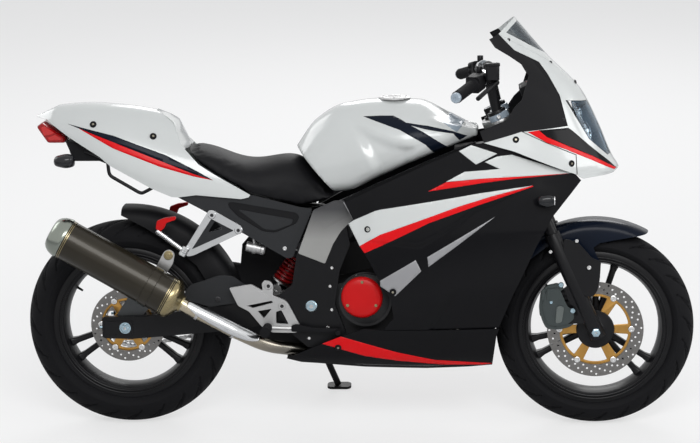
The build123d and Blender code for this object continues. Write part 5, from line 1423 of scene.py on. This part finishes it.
# ---------------------------------------------------------------- controls
BAR_IN, BAR_END = Vector((1076, 122, 1056)), Vector((990, 345, 1012))
BAR_RUN, BAR_LONG = (BAR_END - BAR_IN).normalized(), (BAR_END - BAR_IN).length
GRIP_LONG, PERCH = 122.0, BAR_LONG - 185.0
FORK_X, FORK_HALF, FORK_TOP_Z = 1102, 94, 943


def on_bar(along, side, ahead=0.0, up=0.0):
    """A point so far out along a handlebar."""
    p = BAR_IN + BAR_RUN * along
    return Vector((p.x + ahead, side * p.y, p.z + up))


rubber, ends, silver, black, blue = [], [], [], [], []
for side in (-1, 1):
    run = Vector((BAR_RUN.x, side * BAR_RUN.y, BAR_RUN.z))
    fork = Vector((FORK_X, side * FORK_HALF, FORK_TOP_Z))
    rubber.append(revolve([(12, 0), (21, 0), (21.5, 3), (20, 5),
                           *ribbed(7, 6.2, 18, 16.9, 15.6, (3.6, 4.2, 5.6)), (17.2, 118.5),
                           (17.2, 121), (12, 122)], on_bar(BAR_LONG - GRIP_LONG, side), run))
    ends.append(turned([(0, 0), (14.6, 0), (14.9, 1.5), (14.9, 10.5), (12.5, 14), (5, 14.5),
                        (5, 12), (0, 12)], on_bar(BAR_LONG, side), run))
    silver += [
        revolve([(21, -7), (22.5, -6), (22.5, 6), (21, 7), (12, 7), (12, -7)],
                on_bar(PERCH - 16, side), run),
        bolt(frame_of(on_bar(PERCH, side, 44, 1) + ACROSS * side * 10, UP), 6.5, 4),
        turned([(0, 12), (9, 12), (10.5, 10.5), (17, 9), (18.5, 7), (18.5, 0), (0, 0)],
               fork + STEER * 2, STEER, 36),
        bolt(frame_of(fork + ACROSS * side * 30 - STEER * 13, ACROSS * side), 6, 5)]
    blue.append(revolve([(27, -16), (30, -14), (30, 3), (27, 5), (22, 5), (22, -16)],
                        fork - STEER * 8, STEER, 40))
    black += [turned([(0, 0), (6, 0), (6, 3), (5, 4), (0, 4)],
                     on_bar(BAR_LONG - GRIP_LONG - 24, side, -23, up), (-1, 0, 0.1), 20)
              for up in (8, -8)]
# brake fluid tank and hose end, lock, steering stem's nut
tank = on_bar(PERCH, -1, 34, 25) - ACROSS * 27
black += [
    loft([[tank + Vector((x, y, up)) for x, y in soft_box(w, h, 8)]
          for w, h, up in ((42, 40, 16), (43.5, 41.5, 17), (43.5, 41.5, 22), (40, 38, 23.6))]),
    turned([(0, -2), (7, -2), (7, 10), (5, 12), (0, 12)], on_bar(PERCH, -1, 20, -16),
           (0.3, 0, -1), 20)]
silver += [bolt(frame_of(tank + Vector((x, y, 23.4)), UP), 3.4, 2)
           for x, y in ((-13, -12), (13, 12))]
IGNITION, STEM_TOP = Vector((1086, 0, 926)), Vector((1110, 0, 916)) + FORWARD * 8
black.append(turned([(0, 22), (15, 22), (17, 19), (17, -12), (0, -12)], IGNITION, STEER))
silver += [revolve([(4, 23.4), (13, 23.4), (14, 22), (4, 22)], IGNITION, STEER),
           revolve([(7, 16), (17, 16), (19, 14), (19, 0), (7, 0)], STEM_TOP, STEER, 6)]
group("ribbed_grips", rubber, m_rubber, "steering", ("grips",), angle=35)
group("bar_ends", ends, m_bluegrey, "steering", angle=35)
group("clamp_fittings", silver, m_polish, "steering", angle=30)
group("fork_rings", blue, m_bluegrey, "steering", angle=30)
group("switch_details", black, m_plastic, "steering", angle=35)

# ---------------------------------------------------------------- instruments
# They lie on a face that looks up the steering axis; the round dial sits at DIAL_X.
FACE = frame_of(STEER_FOOT + FORWARD * 138 + STEER * 742, STEER, (0, 1, 0))
DIAL_X, MARKS = 40, 21
WINDOW = rounded([(-57, -15), (9, -15), (9, 15), (-57, 15)], 4)


def panel(pts, thick, lift, bevel=0.0, name="panel", holes=()):
    """A flat piece on the instruments' face, its middle lifted off it."""
    return plate(pts, thick, FACE @ Matrix.Translation((0, 0, lift)), holes, bevel, name)


def on_dial(points, turn):
    """An outline from (radius, radians off the turn) about the dial's middle."""
    return [(DIAL_X + r * math.cos(turn + s), r * math.sin(turn + s)) for r, s in points]


settle(panel(rounded([(-80, -23), (80, -23), (70, 23), (-70, 23)], 12, 5), 22, -11, 2,
             "meter_case"), m_plastic, stands_for=("instruments",), bevel=1.5)
group("meter_bezels", [
    revolve([(20.6, 0), (23, 0), (23, 3), (21.6, 3.4), (20.6, 2)],
            FACE @ Vector((DIAL_X, 0, 0)), STEER, 56),
    panel(rounded([(-60, -18), (12, -18), (12, 18), (-60, 18)], 6), 3, 1, holes=[WINDOW])],
      m_darkbolt, bevel=0.4)
settle(panel(ring_pts(20.5, 48, DIAL_X), 1.0, 0.5, name="dial_face"), m_dial)
settle(panel(WINDOW, 1.0, 0.5, name="display_glass"), m_display)
marks = []
for k in range(MARKS):
    r = 14 if k % 2 else 12.5
    marks.append(panel(on_dial(((r, -0.025), (19, -0.02), (19, 0.02), (r, 0.025)),
                               math.radians(-50 + 280 * k / (MARKS - 1))), 0.5, 1.2))
group("dial_marks", [*marks, panel(ring_pts(3.4, 20, DIAL_X), 2.0, 2.0)], m_plastic)
settle(panel(on_dial(((4, 2.6), (17, 0.02), (17, -0.02), (4, -2.6)), math.radians(215)), 0.6,
             2.2, name="needle"), m_red_paint)

# ---------------------------------------------------------------- small fittings
CALIPER = [(1228, 409), (1244, 430), (1281, 438), (1297, 421), (1314, 379), (1334, 363),
           (1338, 329), (1314, 308), (1281, 300), (1244, 304), (1232, 329), (1223, 363)]
group("fork_bolts", [side_bolt(x, side * 119.2, z, 5.5, 4) for side in (-1, 1)
                     for x, z in ((1333, 566), (1257, 534))]
      + [side_bolt(1369, side * 119, 487, 6.5, 4) for side in (-1, 1)], m_bolt, "steering",
      angle=30)
both("fork_brackets", [(1297, 573), (1338, 560), (1378, 515), (1404, 504), (1401, 452),
                       (1393, 415), (1379, 398), (1346, 406), (1313, 473), (1293, 535)], [],
     4.0, 116.0, m_fork, 8, body="steering", soft=1.2)
group("caliper_case", [
    side_plate(rounded(CALIPER, 9), 18, -100), side_plate(rounded(inset(CALIPER, 11), 8), 6,
                                                          -111)]
    + [side_plate(rounded([(x, 389), (x + 7, 389), (x + 9, 423), (x + 1, 423)], 3, 3), 5,
                  -115.5) for x in (1232, 1247)], m_casting, "steering", bevel=1.8)
group("caliper_plate", [side_plate(rounded([(1271, 320), (1290, 323), (1297, 371),
                                            (1276, 373)], 10, 5), 5, -116)], m_casting_pale,
      "steering", bevel=1.5)
group("caliper_bolts", [side_bolt(1288, -112, 435, 8, 6, False),
                        side_bolt(1322, -112, 358, 8, 6, False),
                        side_bolt(1259, -113, 383, 5, 4)], m_zinc, "steering", angle=30)
for body, axle, y, r in (("front_wheel", FRONT_AXLE, -69, 56), ("rear_wheel", REAR_AXLE, -70,
                                                                44)):
    settle(revolve([(12, 7), (24, 7), (28, 4), (r - 3, 3), (r, 0), (r, -6), (12, -6)],
                   axle + ACROSS * y, -ACROSS, 64, name="hub"), m_wheel, body, angle=35)
for body, axle, half in (("front_wheel", FRONT_AXLE, 52.5), ("rear_wheel", REAR_AXLE, 53.5)):
    group(body + "_ridges", [
        revolve([(r, 0), (r + 3, 0), (r + 3, 2.2), (r + 1.5, 3), (r, 2.2)],
                axle + ACROSS * side * half, ACROSS * side, 128)
        for side in (-1, 1) for r in (211, 203)], m_wheel, body, angle=40)
both("arm_braces", [(194, 436), (235, 448), (285, 466), (326, 461), (361, 434), (372, 404),
                    (319, 374), (256, 369), (193, 388), (175, 406)], [], 5.0, 118.0,
     m_charcoal, 16, soft=1.8)
screws("brace_bolts", [(277, 392)], 117.8, head=9)
# dark sheets inside, which close the view between the panels: painted shade, and stand-ins for
# the dark parts that lie in it
for name, mat, thick, y, outline in (
        ("link_guard", m_plastic, 4, 32, [(343, 300), (343, 262), (416, 233), (515, 216),
                                          (640, 216), (640, 300)]),
        ("head_shadow", m_engine, 4, 40, [(600, 440), (770, 440), (770, 575), (700, 548),
                                          (640, 528), (600, 528)]),
        ("inner_guard", m_plastic, 3, 40, [
            (336, 532), (330, 471), (312, 471), (322, 398), (524, 398), (600, 440), (600, 520),
            (702, 540), (705, 600), (640, 660), (527, 640), (397, 581), (360, 560)])):
    settle(plate(outline, thick, frame_of(ACROSS * y, -ACROSS), name=name), mat)
FINS, CORE_LOW, CORE_TOP = 34, Vector((1062, 0, 470)), Vector((1102, 0, 660))
group("radiator_fins", [
    loft([[p + Vector((ahead, y, up)) for ahead, up in ((0.6, -0.8), (3.8, -1.2), (3.8, 0.2),
                                                        (0.6, 0.6))] for y in (-118, 118)])
    for p in [CORE_LOW.lerp(CORE_TOP, (k + 0.5) / FINS) for k in range(FINS)]], m_darkbolt)
LOOP = ((-40, 803), (-39, 786), (-36, 763), (-17, 751.5), (36, 720.5), (55, 709), (67, 712),
        (100, 731))
group("grab_loops", [tube([(x, y, z) for x, z in LOOP], 5.2) for y in (113.5, -113.5)], m_fork,
      stands_for=("tail_loops",))


# ---------------------------------------------------------------- camera, light, floor
# The camera was fitted to the photo, in upright millimetres.
CAMERA_AT, YAW, PITCH, ROLL = Vector((1114.4, -7095.6, 1721.4)), -0.0634, -0.1556, -0.012
FOCAL_SHARE, SENSOR = 2.4163 / 0.7, 36.0

ahead = Vector((math.sin(YAW) * math.cos(PITCH), math.cos(YAW) * math.cos(PITCH),
                math.sin(PITCH)))
right = Vector((math.cos(YAW), -math.sin(YAW), 0.0))
above = right.cross(ahead)
place = Matrix((right * math.cos(ROLL) + above * math.sin(ROLL),
                above * math.cos(ROLL) - right * math.sin(ROLL), -ahead)).transposed()
lens = bpy.data.cameras.new("camera")
lens.sensor_width, lens.lens, lens.clip_end = SENSOR, FOCAL_SHARE * SENSOR, 100.0
camera = in_scene("camera", lens)
turn = (PARK.to_3x3() @ place).normalized().to_4x4()
camera.matrix_world = Matrix.Translation(PARK @ CAMERA_AT) @ turn
bpy.context.scene.camera = camera


def lamp(name, place, target, size, power):
    """An area lamp that looks at its target."""
    light = bpy.data.lights.new(name, "AREA")
    light.shape, light.energy = "RECTANGLE", power
    light.size, light.size_y = size
    o = in_scene(name, light)
    o.location = place
    o.rotation_euler = (Vector(target) - Vector(place)).to_track_quat("-Z", "Y").to_euler()


def two_shaders(nt, share, a, b, output):
    """Shows shader b in place of a by a share between 0 and 1."""
    mix = node(nt, "ShaderNodeMixShader")
    for socket, value in zip(mix.inputs, (share, a, b)):
        feed(nt, socket, value)
    feed(nt, nt.nodes[output].inputs[0], mix.outputs[0])


# a grey sky for light, which looks white to the camera and in reflections
world = bpy.data.worlds.new("world")
bpy.context.scene.world = world
world.use_nodes = True
nt = world.node_tree
sky = nt.nodes["Background"]
sky.inputs["Color"].default_value, sky.inputs["Strength"].default_value = \
    (0.78, 0.8, 0.84, 1), 0.42
white = node(nt, "ShaderNodeBackground", Color=(1, 1, 1, 1), Strength=1.0)
path = node(nt, "ShaderNodeLightPath").outputs
seen = math_node(nt, "MAXIMUM", path["Is Camera Ray"], path["Is Transmission Ray"])
seen = math_node(nt, "MAXIMUM", seen, path["Is Glossy Ray"])
two_shaders(nt, seen, sky.outputs[0], white.outputs[0], "World Output")

# a pale floor, lifted towards white for the camera
bpy.ops.mesh.primitive_plane_add(size=60)
floor = bpy.context.object
floor.name = "floor"
paint = bpy.data.materials.new("floor")
paint.use_nodes = True
nt = paint.node_tree
shader = nt.nodes["Principled BSDF"]
shader.inputs["Base Color"].default_value = (0.82, 0.82, 0.82, 1)
shader.inputs["Roughness"].default_value = 0.9
glow = node(nt, "ShaderNodeEmission", Strength=1.0)
path = node(nt, "ShaderNodeLightPath").outputs
two_shaders(nt, math_node(nt, "MULTIPLY", path["Is Camera Ray"], 0.62), shader.outputs[0],
            glow.outputs[0], "Material Output")
floor.data.materials.append(paint)

lamp("key", (0.6, -3.4, 3.4), (0.1, 0, 0.6), (3.4, 1.6), 114)
lamp("front", (4.2, -1.2, 2.2), (0.6, 0, 0.7), (2.0, 1.6), 41)
lamp("back", (-3.4, 1.6, 2.8), (-0.2, 0, 0.7), (2.2, 1.6), 34)
lamp("left", (0.4, 4.0, 2.8), (0.0, 0, 0.6), (3.0, 1.6), 66)

# ---------------------------------------------------------------- settings
bpy.context.scene.view_settings.view_transform = "Standard"
